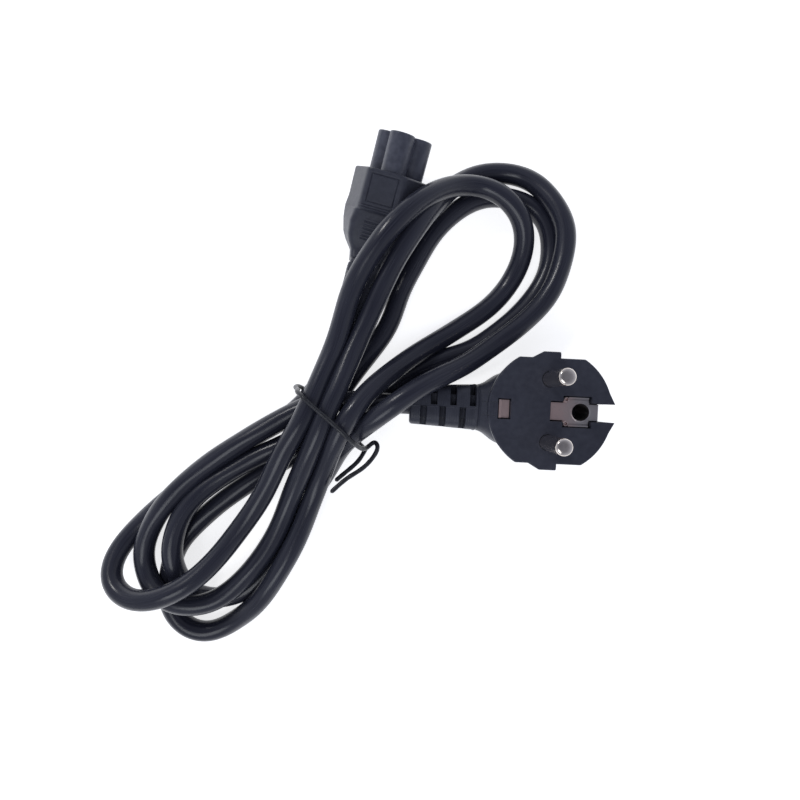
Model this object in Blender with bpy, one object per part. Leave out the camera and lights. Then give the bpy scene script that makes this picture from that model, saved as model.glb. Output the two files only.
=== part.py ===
# Cloverleaf power cord: an angled earthed mains plug, a round black cord folded into a tied hank,
# and a three-pole appliance connector with a cloverleaf nose.
# The plug lies with its pins up. The origin is on the floor below the midpoint between the pins,
# +Y runs from the lower pin to the upper one, and the cord leaves the plug along -X.
from math import asin, cos, pi, radians, sin

import bmesh
import bpy
import numpy as np
from mathutils import Matrix, Vector

MM = 0.001
FIT = 0.3 * MM            # gap between pieces that seat in or on each other
CUT_PAST = 4 * MM         # how far a cutter runs past the face it opens
PIN_SIDES = 24
RING_SIDES = 32
HOLE_SIDES = 20
BORE_SIDES = 16

# Plug body: a round disc with two flats and a guide rib on each flat
PLUG_HEIGHT = 23 * MM
DISC_RADIUS = 18.7 * MM
DISC_CENTER_X = 0.45 * MM  # how far the disc's middle lies from the pins, toward the notch
FLAT_HALF_WIDTH = 15.9 * MM
RIB_HALF_WIDTH = 17.8 * MM
RIB_X = (-2.2 * MM, 2.9 * MM)
RIB_RAMP = 3.3 * MM
EDGE_ROUND = 0.8 * MM
BACK_ROUND = 2 * MM
DISC_DRAFT = 1.8 * MM     # how much smaller the disc is at its back, each way

# Pins and the space that each seats in
PIN_PITCH = 19 * MM
PIN_DIAMETER = 4.8 * MM
PIN_LENGTH = 19 * MM
PIN_TIP = 1.1 * MM
PIN_SEAT_DEPTH = 7 * MM

# Notch for a side earth spring, in the edge away from the cord
NOTCH_WIDTH = 5.3 * MM
NOTCH_DEPTH = 3.9 * MM
NOTCH_X = DISC_CENTER_X + DISC_RADIUS - NOTCH_DEPTH

# Earth contact: a plate below the face with a round socket, a tongue each way and a leg down the notch
EARTH_HOLE_INSET = 5.4 * MM  # how far the hole's middle lies in from the notch
EARTH_HOLE_X = NOTCH_X - EARTH_HOLE_INSET
EARTH_HOLE_DIAMETER = 5 * MM
EARTH_TUBE_WALL = 0.5 * MM
EARTH_TUBE_LENGTH = 13 * MM
PLATE_DEPTH = 2 * MM
PLATE_THICKNESS = 0.8 * MM
PLATE_X = (EARTH_HOLE_X - 5.3 * MM, EARTH_HOLE_X + 2.6 * MM)
PLATE_HALF_WIDTH = 4.4 * MM
TONGUE_LENGTH = 3.8 * MM
TONGUE_START_X = PLATE_X[0] - TONGUE_LENGTH
TONGUE_HALF_WIDTH = 2.6 * MM
LEG_HALF_WIDTH = 2.1 * MM
LEG_THICKNESS = 0.7 * MM
LEG_LENGTH = 12 * MM

# Earth clip in the face, on the cord's side
CLIP_X = (-15 * MM, -11.7 * MM)
CLIP_HALF_WIDTH = 2.8 * MM
CLIP_THICKNESS = 0.7 * MM
CLIP_DEPTH = 2.2 * MM

# Plug strain relief: rings of (distance from the pins, half width, centre height, half height)
RELIEF_RINGS = (
    (9 * MM, 13.2 * MM, 10.6 * MM, 10.3 * MM),
    (14.5 * MM, 11 * MM, 10 * MM, 9.7 * MM),
    (17.6 * MM, 8.6 * MM, 9.2 * MM, 8.4 * MM),
    (20.3 * MM, 7.6 * MM, 8.6 * MM, 7 * MM),
    (30 * MM, 7 * MM, 8.5 * MM, 6.6 * MM),
    (40.7 * MM, 6.3 * MM, 8.5 * MM, 6.2 * MM),
    (41.5 * MM, 5.5 * MM, 8.5 * MM, 5.4 * MM),
)
RELIEF_CORE = 4 * MM
RELIEF_SPINE = 0.3 * MM
SLOT_WIDTH = 1.85 * MM
SLOTS_UP = (34 * MM, 27.9 * MM, 21.8 * MM)
SLOTS_DOWN = (37.2 * MM, 31.2 * MM, 24.9 * MM)

# Connector: its place on the floor, the way its nose points, its lean onto its left edge, and how far
# its body turns up about a line across its foot, with the strain relief bent to lie along the floor
NOSE_ROOT = Vector((-48.8 * MM, 74.4 * MM, 0))
NOSE_TURN = radians(-14.5)
CONNECTOR_LEAN = radians(-4)
NOSE_UP = radians(16)
NOSE_UP_FROM = 20 * MM
RELIEF_LEVEL_FROM = 34 * MM
# Rings of (distance behind the nose, half width at the foot, half width of the top face, foot, height)
BODY_RINGS = (
    (0 * MM, 12.6 * MM, 4.7 * MM, 0.5 * MM, 15.2 * MM),
    (0.8 * MM, 13.2 * MM, 5.3 * MM, 0 * MM, 15.8 * MM),
    (8 * MM, 13.2 * MM, 5.5 * MM, 0 * MM, 15.8 * MM),
    (12.2 * MM, 13.1 * MM, 5.5 * MM, 0 * MM, 15.8 * MM),
    (13.2 * MM, 13 * MM, 6.6 * MM, 0 * MM, 14.7 * MM),
    (16.5 * MM, 12.6 * MM, 7.2 * MM, 0 * MM, 14.7 * MM),
    (20.8 * MM, 11.5 * MM, 6.9 * MM, 0.2 * MM, 14.4 * MM),
    (23.5 * MM, 10.1 * MM, 6.2 * MM, 1 * MM, 14 * MM),
    (26.6 * MM, 8 * MM, 5 * MM, 1.5 * MM, 13.4 * MM),
    (30.3 * MM, 7.1 * MM, 4.3 * MM, 1.2 * MM, 13 * MM),
    (31.2 * MM, 6.1 * MM, 4 * MM, 1.2 * MM, 12.4 * MM),
    (32.2 * MM, 6.1 * MM, 4 * MM, 1 * MM, 12.4 * MM),
    (32.8 * MM, 6.8 * MM, 4.2 * MM, 0.6 * MM, 12.8 * MM),
    (45 * MM, 6.1 * MM, 4 * MM, 0.4 * MM, 12.4 * MM),
    (49.5 * MM, 5.9 * MM, 3.9 * MM, 0.4 * MM, 12.2 * MM),
    (50.3 * MM, 5.2 * MM, 3.4 * MM, 1 * MM, 11.6 * MM),
)
BODY_CHAMFER = 1.2 * MM
CONNECTOR_RELIEF_END = BODY_RINGS[-1][0]
CONNECTOR_AXIS_HEIGHT = 6.3 * MM

# Nose: one lobe for each contact, seated in the body
NOSE_LENGTH = 12 * MM
NOSE_SEAT_DEPTH = 5 * MM
NOSE_FOOT = 1.2 * MM
NOSE_ASIDE = 0.5 * MM     # how far the nose stands off the body's middle
LOBE_SPACING = 10 * MM
LOBE_RADIUS = 3.7 * MM
EARTH_LOBE_RADIUS = 4 * MM
EARTH_LOBE_RISE = 5.2 * MM
NOSE_WEB_RISE = 1.4 * MM
NOSE_WEB_RADIUS = 4.6 * MM
NOSE_SIDES = 96
NOSE_HOLE_DIAMETER = 3.4 * MM
SLEEVE_DIAMETER = NOSE_HOLE_DIAMETER - 2 * FIT
SLEEVE_BORE = 1.8 * MM
SLEEVE_LENGTH = 12 * MM
SLEEVE_END_WALL = 1 * MM
SLEEVE_RECESS = 1 * MM    # how far the sleeves lie in from the nose's front
SLEEVE_END_GAP = 1 * MM
NOSE_HOLE_DEPTH = SLEEVE_RECESS + SLEEVE_LENGTH + SLEEVE_END_GAP

# Cord: its diameter and the points its centre line passes, from the plug to the connector, in mm.
# The heights say which strand lies on which: about 3.5 on the floor, 10 on one strand, 17 on two.
CORD_DIAMETER = 6.7 * MM
CORD_BEND_EVENING = 3.5 * MM
CORD_LEAD = 5 * MM        # how far the cord leaves each strain relief straight
CORD_POINT_COUNT = 80
CORD_BEVEL_STEPS = 3
LINE_SAMPLES = 3000       # how finely the smooth line is worked out before it is thinned
CORD_BEND_SHARE = 25 * MM  # how much of the straight runs' points each radian of bend takes
CORD_ROUTE = (
    # away from the plug, over the hank and down its far side
    (-52.5, 0, 10.5), (-68.5, -0.5, 11.5), (-81, -6, 11), (-96.5, -16, 10.5),
    (-104, -21.5, 10), (-111, -27.5, 10), (-119.5, -37.5, 10), (-125.5, -50.5, 7.5),
    (-124.5, -59.5, 7), (-117.5, -66, 10.5), (-105.5, -67.5, 11), (-96.5, -63, 10.5),
    # back through the tie to the first upper loop
    (-86, -50.5, 10), (-81, -40.5, 10), (-78, -31.5, 11), (-70.5, -13, 17.5),
    (-67, -3.5, 18.5), (-63.5, 5.5, 18), (-58.5, 19.5, 16), (-55.2, 27.5, 16.2),
    (-50.5, 39.3, 17.5), (-43.9, 51.6, 19), (-39.9, 58.2, 17.4), (-35.6, 64.6, 12.6), (-29.8, 72.6, 5),
    (-22, 77, 3.5), (-8, 77, 4), (1, 69, 7.5), (6, 58.5, 9.5),
    # over the plug's strain relief and down to the lower end
    (5, 46.5, 9.5), (2, 38, 9.5), (-3.5, 30.5, 9.5), (-17.5, 18.5, 11),
    (-26, 12.5, 14), (-40, 4.5, 19), (-52, -5, 17.5), (-61.5, -13, 10.5),
    (-67.5, -23, 5), (-74.5, -35.5, 3.5), (-81, -50, 3.5), (-85.5, -57.5, 3.5),
    (-93.5, -65, 3.5), (-108.5, -67, 3.5), (-113.5, -59.5, 8.5), (-115.5, -51, 10.5),
    # back along the floor to the second upper loop
    (-112.3, -37.7, 10), (-105, -29.3, 8.5), (-94.9, -22.2, 8), (-87.3, -17.9, 8),
    (-77, -12.5, 7.5), (-67.5, -2.5, 5), (-60, 10, 4), (-50.3, 24.1, 3.5),
    (-46.6, 35.8, 3.5), (-40.8, 48.7, 3.5), (-36.4, 56.7, 3.5), (-26, 67, 3.5),
    (-15, 70, 3.5), (-3.5, 67, 3.5), (2, 60, 3.5), (2, 45, 3.5),
    # under the strain relief's end to the lowest loop
    (-6.5, 31.5, 3.5), (-13.5, 25, 3.5), (-21.5, 19, 3.5), (-32.5, 15, 3.5),
    (-45, 8, 3.5), (-56, -2, 4.6), (-65, -10.5, 6), (-79.5, -19, 3.5),
    (-90.5, -26.5, 3.5), (-101, -34.5, 3.5), (-111.5, -44.5, 3.5), (-117, -53, 3.5),
    (-118.5, -65.5, 3.5), (-115.5, -74.5, 3.5), (-105.5, -79, 3.5), (-94.5, -73.5, 4),
    (-87.5, -66.5, 8), (-78.5, -51.5, 10.5), (-74.5, -42, 10), (-71.5, -33, 10),
    # through the tie to the inner upper loop
    (-68.5, -24, 12), (-65.5, -16, 15.5), (-62, -8, 18.5), (-57.5, -0.5, 18),
    (-51.5, 6.5, 14.5), (-43, 14, 9), (-32, 22, 5), (-20.5, 30, 3.5),
    (-10, 41.5, 3.5), (-6.5, 55, 7), (-9.5, 63, 10), (-16.5, 69, 10.5),
    # over the connector and the tie to the lower left loop
    (-25.5, 71, 10.5), (-38.6, 64.3, 19), (-48.4, 54.4, 23.5), (-53.9, 47.3, 22.4),
    (-59.5, 38, 19.5), (-62.5, 29.5, 18), (-65.5, 17, 17), (-68.5, 9, 17.5),
    (-75, -8, 18.5), (-79.5, -15.5, 16.5), (-85.5, -29, 14), (-93.5, -42.5, 13),
    (-100, -51.5, 14.5), (-106, -58, 16.5), (-115.5, -63.5, 17), (-128.5, -65.5, 13),
    (-135.5, -59, 9), (-131, -47, 4.5), (-121.5, -37, 3.5), (-113.5, -29.5, 3.5),
    # along the floor, under the tie, to the connector
    (-106, -23, 3.5), (-98.5, -17.5, 3.5), (-88, -10.5, 4), (-80.5, -5.5, 4.5),
    (-72, 4, 5), (-67.3, 12.5, 5.9),
)

# Twist tie: a wire round the hank's waist, from its outer tail over the strands, back under them and
# past the knot to its inner tail, its points in mm
TIE_DIAMETER = 1.5 * MM
TIE_POINT_COUNT = 44
TIE_BEVEL_STEPS = 2
TIE_ROUTE = (
    (-65.1, -29, 14), (-60.1, -24.4, 12.8), (-55.4, -21, 11.8), (-52, -16.8, 11), (-51.2, -14, 11),
    (-52.2, -12.9, 10.4), (-54.4, -14.4, 12), (-56.7, -13.9, 18), (-60, -10.9, 22.4),
    (-65, -6.6, 22.9), (-70, -2.6, 22.9), (-74, 0.6, 22.3), (-76.2, 2.2, 19), (-77.2, 2.9, 12.5),
    (-79, 3.7, 6.5), (-78.6, 4, 3), (-77.4, 3.4, 1.2), (-75.5, 1.8, 0.8), (-66, -6.2, 0.8), (-58, -13.7, 0.9),
    (-55.6, -15.6, 3.6),
    (-55.4, -16, 8), (-57, -18.8, 9.6), (-60.5, -22.4, 10.8), (-64, -25.6, 12),
)


def clear_scene():
    for old in list(bpy.data.objects):
        bpy.data.objects.remove(old, do_unlink=True)


def material(name, color, roughness, metallic=0.0):
    made = bpy.data.materials.new(name)
    made.use_nodes = True
    shader = made.node_tree.nodes["Principled BSDF"]
    shader.inputs["Base Color"].default_value = (*color, 1)
    shader.inputs["Roughness"].default_value = roughness
    shader.inputs["Metallic"].default_value = metallic
    return made


def add_object(name, data, look=None, place=None):
    made = bpy.data.objects.new(name, data)
    bpy.context.collection.objects.link(made)
    if look is not None:
        data.materials.append(look)
    if place is not None:
        made.matrix_world = place
    return made


def loft(rings):
    """A closed mesh through rings of equally many points, with a flat cap at each end."""
    mesh = bmesh.new()
    loops = [[mesh.verts.new(point) for point in ring] for ring in rings]
    for near, far in zip(loops, loops[1:]):
        for k in range(len(near)):
            n = (k + 1) % len(near)
            mesh.faces.new((near[k], near[n], far[n], far[k]))
    mesh.faces.new(loops[0][::-1])
    mesh.faces.new(loops[-1])
    bmesh.ops.recalc_face_normals(mesh, faces=mesh.faces)
    return mesh


def finished(mesh, name):
    data = bpy.data.meshes.new(name)
    mesh.to_mesh(data)
    mesh.free()
    return data


def prism(outline, bottom, top):
    """An outline in x and y, drawn up from bottom to top."""
    return loft([[(x, y, z) for x, y in outline] for z in (bottom, top)])


def box(x, y, z):
    """A box from three (low, high) pairs."""
    return prism(((x[0], y[0]), (x[1], y[0]), (x[1], y[1]), (x[0], y[1])), z[0], z[1])


def circle(radius, sides, center=(0, 0)):
    turns = [2 * pi * (k + 0.5) / sides for k in range(sides)]
    return [(center[0] + radius * cos(t), center[1] + radius * sin(t)) for t in turns]


def turned(profile, sides):
    """A solid of revolution about z through (radius, height) pairs."""
    return loft([[(x, y, height) for x, y in circle(radius, sides)] for radius, height in profile])


def hide_helper(helper):
    helper.hide_render = True
    helper.display_type = "WIRE"


def boolean(target, mesh, operation, place=None):
    helper = add_object(f"{target.name}_{operation.lower()}", finished(mesh, "helper"), place=place)
    hide_helper(helper)
    step = target.modifiers.new(operation.title(), "BOOLEAN")
    step.operation = operation
    step.solver = "EXACT"
    step.object = helper


def cut(target, mesh, place=None):
    boolean(target, mesh, "DIFFERENCE", place)


def join(target, mesh, place=None):
    boolean(target, mesh, "UNION", place)


def shade(made):
    """Round faces smooth, with the edges between flats sharp."""
    made.data.shade_smooth()
    made.data.set_sharp_from_angle(angle=radians(35))


def plug_outline(inset):
    """The disc's outline seen from above, with its flats and ribs, moved inwards by inset."""
    radius = DISC_RADIUS - inset
    flat = FLAT_HALF_WIDTH - inset
    rib = RIB_HALF_WIDTH - inset
    corner = asin(flat / radius)
    edge = [(radius * cos(a), radius * sin(a)) for a in np.linspace(-corner, corner, 19)]
    right = [(DISC_CENTER_X + x, y) for x, y in edge]
    left = [(DISC_CENTER_X - x, -y) for x, y in edge]
    upper = [(RIB_X[1], flat), (RIB_X[1], rib), (RIB_X[0], rib), (RIB_X[0] - RIB_RAMP, flat)]
    lower = [(x, -y) for x, y in reversed(upper)]
    return right + upper + left + lower


def rounded_ring(x, half_width, center_height, half_height):
    """A ring across the x axis, between an ellipse and a rectangle."""
    points = []
    for k in range(RING_SIDES):
        turn = 2 * pi * (k + 0.5) / RING_SIDES
        across = abs(cos(turn)) ** 0.5 * (1 if cos(turn) > 0 else -1)
        up = abs(sin(turn)) ** 0.5 * (1 if sin(turn) > 0 else -1)
        points.append((x, half_width * across, center_height + half_height * up))
    return points


def slot_cutters(middles, side):
    """C-shaped cutters round the strain relief's core, on the +Y side for side 1 and -Y for -1."""
    top = RELIEF_RINGS[0][2] + RELIEF_RINGS[0][3]
    axis = RELIEF_RINGS[-1][2]
    reach = RELIEF_RINGS[0][1]
    inner = (
        (RELIEF_SPINE, top), (RELIEF_SPINE, axis + RELIEF_CORE), (RELIEF_CORE, axis + RELIEF_CORE),
        (RELIEF_CORE, axis - RELIEF_CORE), (RELIEF_SPINE, axis - RELIEF_CORE),
        (RELIEF_SPINE, -CUT_PAST), (reach, -CUT_PAST), (reach, top),
    )
    meshes = []
    for middle in middles:
        ends = (-middle - SLOT_WIDTH / 2, -middle + SLOT_WIDTH / 2)
        meshes.append(loft([[(x, side * y, z) for y, z in inner] for x in ends]))
    return meshes


def make_plug_body(look):
    levels = [(PLUG_HEIGHT - EDGE_ROUND, 0), (PLUG_HEIGHT, EDGE_ROUND)]
    for turn in np.linspace(pi / 2, 0, 4):
        inset = DISC_DRAFT + BACK_ROUND * (1 - cos(pi / 2 - turn))
        levels.insert(0, (BACK_ROUND * (1 - sin(pi / 2 - turn)), inset))
    disc = loft([[(x, y, z) for x, y in plug_outline(inset)] for z, inset in levels])
    body = add_object("plug_body", finished(disc, "plug_body"), look)
    join(body, loft([rounded_ring(-x, w, c, h) for x, w, c, h in RELIEF_RINGS]))
    for cutter in slot_cutters(SLOTS_UP, 1) + slot_cutters(SLOTS_DOWN, -1):
        cut(body, cutter)
    past = PLUG_HEIGHT + CUT_PAST
    notch_y = (-NOTCH_WIDTH / 2, NOTCH_WIDTH / 2)
    outside = DISC_CENTER_X + DISC_RADIUS + CUT_PAST
    cut(body, box((NOTCH_X, outside), notch_y, (-CUT_PAST, past)))
    for y in (-PIN_PITCH / 2, PIN_PITCH / 2):
        seat = circle(PIN_DIAMETER / 2 + FIT, PIN_SIDES, (0, y))
        cut(body, prism(seat, PLUG_HEIGHT - PIN_SEAT_DEPTH - FIT, past))
    plate_bottom = PLUG_HEIGHT - PLATE_DEPTH - PLATE_THICKNESS - FIT
    tongue = TONGUE_HALF_WIDTH + FIT
    square = PLATE_HALF_WIDTH + FIT
    outline = (
        (TONGUE_START_X - FIT, -tongue), (PLATE_X[0] - FIT, -tongue), (PLATE_X[0] - FIT, -square),
        (PLATE_X[1] + FIT, -square), (PLATE_X[1] + FIT, -LEG_HALF_WIDTH - FIT),
        (NOTCH_X + FIT, -LEG_HALF_WIDTH - FIT), (NOTCH_X + FIT, LEG_HALF_WIDTH + FIT),
        (PLATE_X[1] + FIT, LEG_HALF_WIDTH + FIT), (PLATE_X[1] + FIT, square),
        (PLATE_X[0] - FIT, square), (PLATE_X[0] - FIT, tongue), (TONGUE_START_X - FIT, tongue),
    )
    cut(body, prism(outline, plate_bottom, past))
    tube = EARTH_HOLE_DIAMETER / 2 + EARTH_TUBE_WALL + FIT
    bore_bottom = PLUG_HEIGHT - PLATE_DEPTH - EARTH_TUBE_LENGTH - FIT
    cut(body, prism(circle(tube, PIN_SIDES, (EARTH_HOLE_X, 0)), bore_bottom, past))
    leg_x = (NOTCH_X - LEG_THICKNESS - FIT, NOTCH_X + 2 * FIT)
    leg_y = (-LEG_HALF_WIDTH - FIT, LEG_HALF_WIDTH + FIT)
    leg_bottom = PLUG_HEIGHT - PLATE_DEPTH - LEG_LENGTH - FIT
    cut(body, box(leg_x, leg_y, (leg_bottom, past)))
    clip_x = (CLIP_X[0] - FIT, CLIP_X[1] + FIT)
    clip_y = (-CLIP_HALF_WIDTH - FIT, CLIP_HALF_WIDTH + FIT)
    cut(body, box(clip_x, clip_y, (PLUG_HEIGHT - CLIP_DEPTH - CLIP_THICKNESS - FIT, past)))
    shade(body)


def make_pin(name, y, look):
    radius = PIN_DIAMETER / 2
    profile = [(radius, -PIN_SEAT_DEPTH), (radius, PIN_LENGTH - PIN_TIP)]
    for k in range(1, 5):
        turn = pi / 2 * k / 4
        profile.append((radius - PIN_TIP * (1 - cos(turn)), PIN_LENGTH - PIN_TIP * (1 - sin(turn))))
    place = Matrix.Translation((0, y, PLUG_HEIGHT))
    shade(add_object(name, finished(turned(profile, PIN_SIDES), name), look, place))


def make_earth_contact(look):
    top = PLUG_HEIGHT - PLATE_DEPTH
    bottom = top - PLATE_THICKNESS
    outer_x = NOTCH_X
    outline = (
        (TONGUE_START_X, -TONGUE_HALF_WIDTH), (PLATE_X[0], -TONGUE_HALF_WIDTH),
        (PLATE_X[0], -PLATE_HALF_WIDTH), (PLATE_X[1], -PLATE_HALF_WIDTH), (PLATE_X[1], -LEG_HALF_WIDTH),
        (outer_x, -LEG_HALF_WIDTH), (outer_x, LEG_HALF_WIDTH), (PLATE_X[1], LEG_HALF_WIDTH),
        (PLATE_X[1], PLATE_HALF_WIDTH), (PLATE_X[0], PLATE_HALF_WIDTH),
        (PLATE_X[0], TONGUE_HALF_WIDTH), (TONGUE_START_X, TONGUE_HALF_WIDTH),
    )
    contact = add_object("earth_contact", finished(prism(outline, bottom, top), "earth_contact"), look)
    inner = EARTH_HOLE_DIAMETER / 2
    center = (EARTH_HOLE_X, 0)
    tube_bottom = top - EARTH_TUBE_LENGTH
    middle = top - PLATE_THICKNESS / 2
    tube = prism(circle(inner + EARTH_TUBE_WALL, PIN_SIDES, center), tube_bottom, middle)
    join(contact, tube)
    leg_x = (outer_x - LEG_THICKNESS, outer_x)
    leg_y = (-LEG_HALF_WIDTH, LEG_HALF_WIDTH)
    join(contact, box(leg_x, leg_y, (top - LEG_LENGTH, middle)))
    cut(contact, prism(circle(inner, PIN_SIDES, center), tube_bottom - CUT_PAST, top + CUT_PAST))
    shade(contact)


def make_earth_clip(look):
    floor = PLUG_HEIGHT - CLIP_DEPTH - CLIP_THICKNESS
    wall = CLIP_X[0] + CLIP_THICKNESS
    outline = (
        (CLIP_X[0], floor), (CLIP_X[1], floor), (CLIP_X[1], floor + CLIP_THICKNESS),
        (wall, floor + CLIP_THICKNESS), (wall, PLUG_HEIGHT - FIT), (CLIP_X[0], PLUG_HEIGHT - FIT),
    )
    ends = (-CLIP_HALF_WIDTH, CLIP_HALF_WIDTH)
    clip = loft([[(x, y, z) for x, z in outline] for y in ends])
    add_object("earth_clip", finished(clip, "earth_clip"), look)


def connector_place():
    """Where the connector's own frame lies: +Y along the nose, leaning on its left foot edge."""
    foot = BODY_RINGS[2][1]
    lean = Matrix.Rotation(CONNECTOR_LEAN, 4, "Y")
    hinge = Matrix.Translation((-foot, 0, 0))
    turn = Matrix.Rotation(NOSE_TURN, 4, "Z")
    return Matrix.Translation(NOSE_ROOT) @ turn @ hinge @ lean @ hinge.inverted()


def turned_up(share):
    """The body's turn about the line across its foot, by a share of its whole angle."""
    line = Matrix.Translation((0, -NOSE_UP_FROM, 0))
    return line @ Matrix.Rotation(share * NOSE_UP, 4, "X") @ line.inverted()


def nose_place(place):
    """Where the nose and its contacts lie, turned up with the body's front."""
    return place @ turned_up(1) @ Matrix.Translation((NOSE_ASIDE, 0, 0))


def body_ring(back, foot, top, low, high):
    c = BODY_CHAMFER
    half = (
        (foot - c, low), (foot, low + c), (foot, low + 2 * c), (top + c, high - c / 2), (top, high),
    )
    along = (RELIEF_LEVEL_FROM - back) / (RELIEF_LEVEL_FROM - NOSE_UP_FROM)
    share = min(max(along, 0), 1)
    turn = turned_up(share * share * (3 - 2 * share))
    right = [turn @ Vector((x, -back, z)) for x, z in half]
    left = [turn @ Vector((-x, -back, z)) for x, z in reversed(half)]
    return right + left


def nose_center_heights():
    """The heights of the two lower contacts and of the earth contact."""
    low = NOSE_FOOT + LOBE_RADIUS
    return low, low + EARTH_LOBE_RISE


def nose_prism(grow, back, front):
    """A prism along y whose outline goes round one lobe for each contact and the web between them."""
    low, high = nose_center_heights()
    half = LOBE_SPACING / 2
    middle = low + NOSE_WEB_RISE
    lobes = (
        (-half, low - middle, LOBE_RADIUS), (half, low - middle, LOBE_RADIUS),
        (0, high - middle, EARTH_LOBE_RADIUS), (0, 0, NOSE_WEB_RADIUS),
    )
    outline = []
    for turn in np.linspace(0, 2 * pi, NOSE_SIDES, endpoint=False):
        reach = 0
        for x, z, radius in lobes:
            along = x * cos(turn) + z * sin(turn)
            inside = (radius + grow) ** 2 - x * x - z * z + along * along
            if inside > 0:
                reach = max(reach, along + inside ** 0.5)
        outline.append((reach * cos(turn), middle + reach * sin(turn)))
    mesh = prism(outline, -front, back)
    bmesh.ops.transform(mesh, matrix=Matrix.Rotation(pi / 2, 4, "X"), verts=mesh.verts)
    return mesh


def contact_centers():
    low, high = nose_center_heights()
    return {"line": (-LOBE_SPACING / 2, low), "neutral": (LOBE_SPACING / 2, low), "earth": (0, high)}


def tube_cutter(radius, center, start, end, sides=HOLE_SIDES):
    mesh = prism(circle(radius, sides, center), -end, -start)
    bmesh.ops.transform(mesh, matrix=Matrix.Rotation(pi / 2, 4, "X"), verts=mesh.verts)
    return mesh


def make_connector_body(look, place):
    rings = [body_ring(*ring) for ring in BODY_RINGS]
    body = add_object("connector_body", finished(loft(rings), "connector_body"), look, place)
    cut(body, nose_prism(FIT, NOSE_SEAT_DEPTH + FIT, CUT_PAST), nose_place(place))
    shade(body)


def make_connector_nose(look, place):
    insert = nose_prism(0, NOSE_SEAT_DEPTH, NOSE_LENGTH)
    nose = add_object("connector_nose", finished(insert, "connector_nose"), look, place)
    for center in contact_centers().values():
        start = NOSE_LENGTH - NOSE_HOLE_DEPTH
        cut(nose, tube_cutter(NOSE_HOLE_DIAMETER / 2, center, start, NOSE_LENGTH + CUT_PAST), place)
    shade(nose)


def make_sleeve(name, center, look, place):
    front = NOSE_LENGTH - SLEEVE_RECESS
    mesh = tube_cutter(SLEEVE_DIAMETER / 2, center, front - SLEEVE_LENGTH, front)
    sleeve = add_object(name, finished(mesh, name), look, place)
    bore_start = front - SLEEVE_LENGTH + SLEEVE_END_WALL
    bore = tube_cutter(SLEEVE_BORE / 2, center, bore_start, front + CUT_PAST, BORE_SIDES)
    cut(sleeve, bore, place)
    shade(sleeve)


def smooth_line(points, count):
    """Evenly spaced points on a natural cubic spline through the given ones."""
    points = np.array(points, float)
    steps = np.sqrt(np.linalg.norm(np.diff(points, axis=0), axis=1))
    knots = np.concatenate([[0], np.cumsum(steps)])
    n = len(points)
    system = np.eye(n)
    right = np.zeros((n, 3))
    for i in range(1, n - 1):
        system[i, i - 1:i + 2] = steps[i - 1], 2 * (steps[i - 1] + steps[i]), steps[i]
        slope_out = (points[i + 1] - points[i]) / steps[i]
        slope_in = (points[i] - points[i - 1]) / steps[i - 1]
        right[i] = 6 * (slope_out - slope_in)
    bend = np.linalg.solve(system, right)
    at = np.linspace(0, knots[-1], 40 * n)
    k = np.clip(np.searchsorted(knots, at, side="right") - 1, 0, n - 2)
    h = steps[k][:, None]
    before = (knots[k + 1] - at)[:, None]
    after = (at - knots[k])[:, None]
    line = (bend[k] * before**3 + bend[k + 1] * after**3) / (6 * h)
    line += (points[k] / h - bend[k] * h / 6) * before
    line += (points[k + 1] / h - bend[k + 1] * h / 6) * after
    return evenly_spaced(line, count)


def evenly_spaced(line, count):
    run = np.concatenate([[0], np.cumsum(np.linalg.norm(np.diff(line, axis=0), axis=1))])
    marks = np.linspace(0, run[-1], count)
    return np.stack([np.interp(marks, run, line[:, axis]) for axis in range(3)], axis=1)


def evened(line, reach):
    """The line with its bends averaged over about reach each way, its ends kept."""
    step = np.linalg.norm(line[1] - line[0])
    size = int(4 * reach / step)
    weights = np.exp(-0.5 * (np.arange(-size, size + 1) * step / reach) ** 2)
    weights /= weights.sum()
    padded = np.vstack([2 * line[0] - line[size:0:-1], line, 2 * line[-1] - line[-2:-size - 2:-1]])
    return np.stack([np.convolve(padded[:, axis], weights, "valid") for axis in range(3)], axis=1)


def cord_path(line):
    """The tube's points: closer in tight bends, and one more near each end so that its caps stand square."""
    step = np.linalg.norm(line[1] - line[0])
    heading = np.diff(line, axis=0) / step
    turning = np.linalg.norm(np.diff(heading, axis=0), axis=1)
    share = step + CORD_BEND_SHARE * np.concatenate([[0], turning, [0]])
    run = np.concatenate([[0], np.cumsum(share[:-1])])
    marks = np.linspace(0, run[-1], CORD_POINT_COUNT)
    path = np.stack([np.interp(marks, run, line[:, axis]) for axis in range(3)], axis=1)
    lead = round(CORD_LEAD / step)
    return np.vstack([path[0], line[lead], path[1:-1], line[-lead - 1], path[-1]])


def above_floor(line, radius):
    line[:, 2] = np.maximum(line[:, 2], radius)
    return line


def tube(name, line, diameter, look, bevel_steps):
    curve = bpy.data.curves.new(name, "CURVE")
    curve.dimensions = "3D"
    curve.bevel_depth = diameter / 2
    curve.bevel_resolution = bevel_steps
    curve.use_fill_caps = True
    spline = curve.splines.new("POLY")
    spline.points.add(len(line) - 1)
    for point, place in zip(spline.points, line):
        point.co = (*place, 1)
    return add_object(name, curve, look)


def cord_line(place):
    """The cord's centre line, from the plug's strain relief to the connector's."""
    axis = RELIEF_RINGS[-1][2]
    leads = [Vector((-RELIEF_RINGS[-1][0] - run, 0, axis)) for run in (FIT, CORD_LEAD)]
    ends = [
        place @ Vector((0, -CONNECTOR_RELIEF_END - run, CONNECTOR_AXIS_HEIGHT))
        for run in (CORD_LEAD, FIT)
    ]
    route = leads + [Vector(point) * MM for point in CORD_ROUTE] + ends
    line = evened(smooth_line(route, LINE_SAMPLES), CORD_BEND_EVENING)
    return above_floor(line, CORD_DIAMETER / 2)


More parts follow.
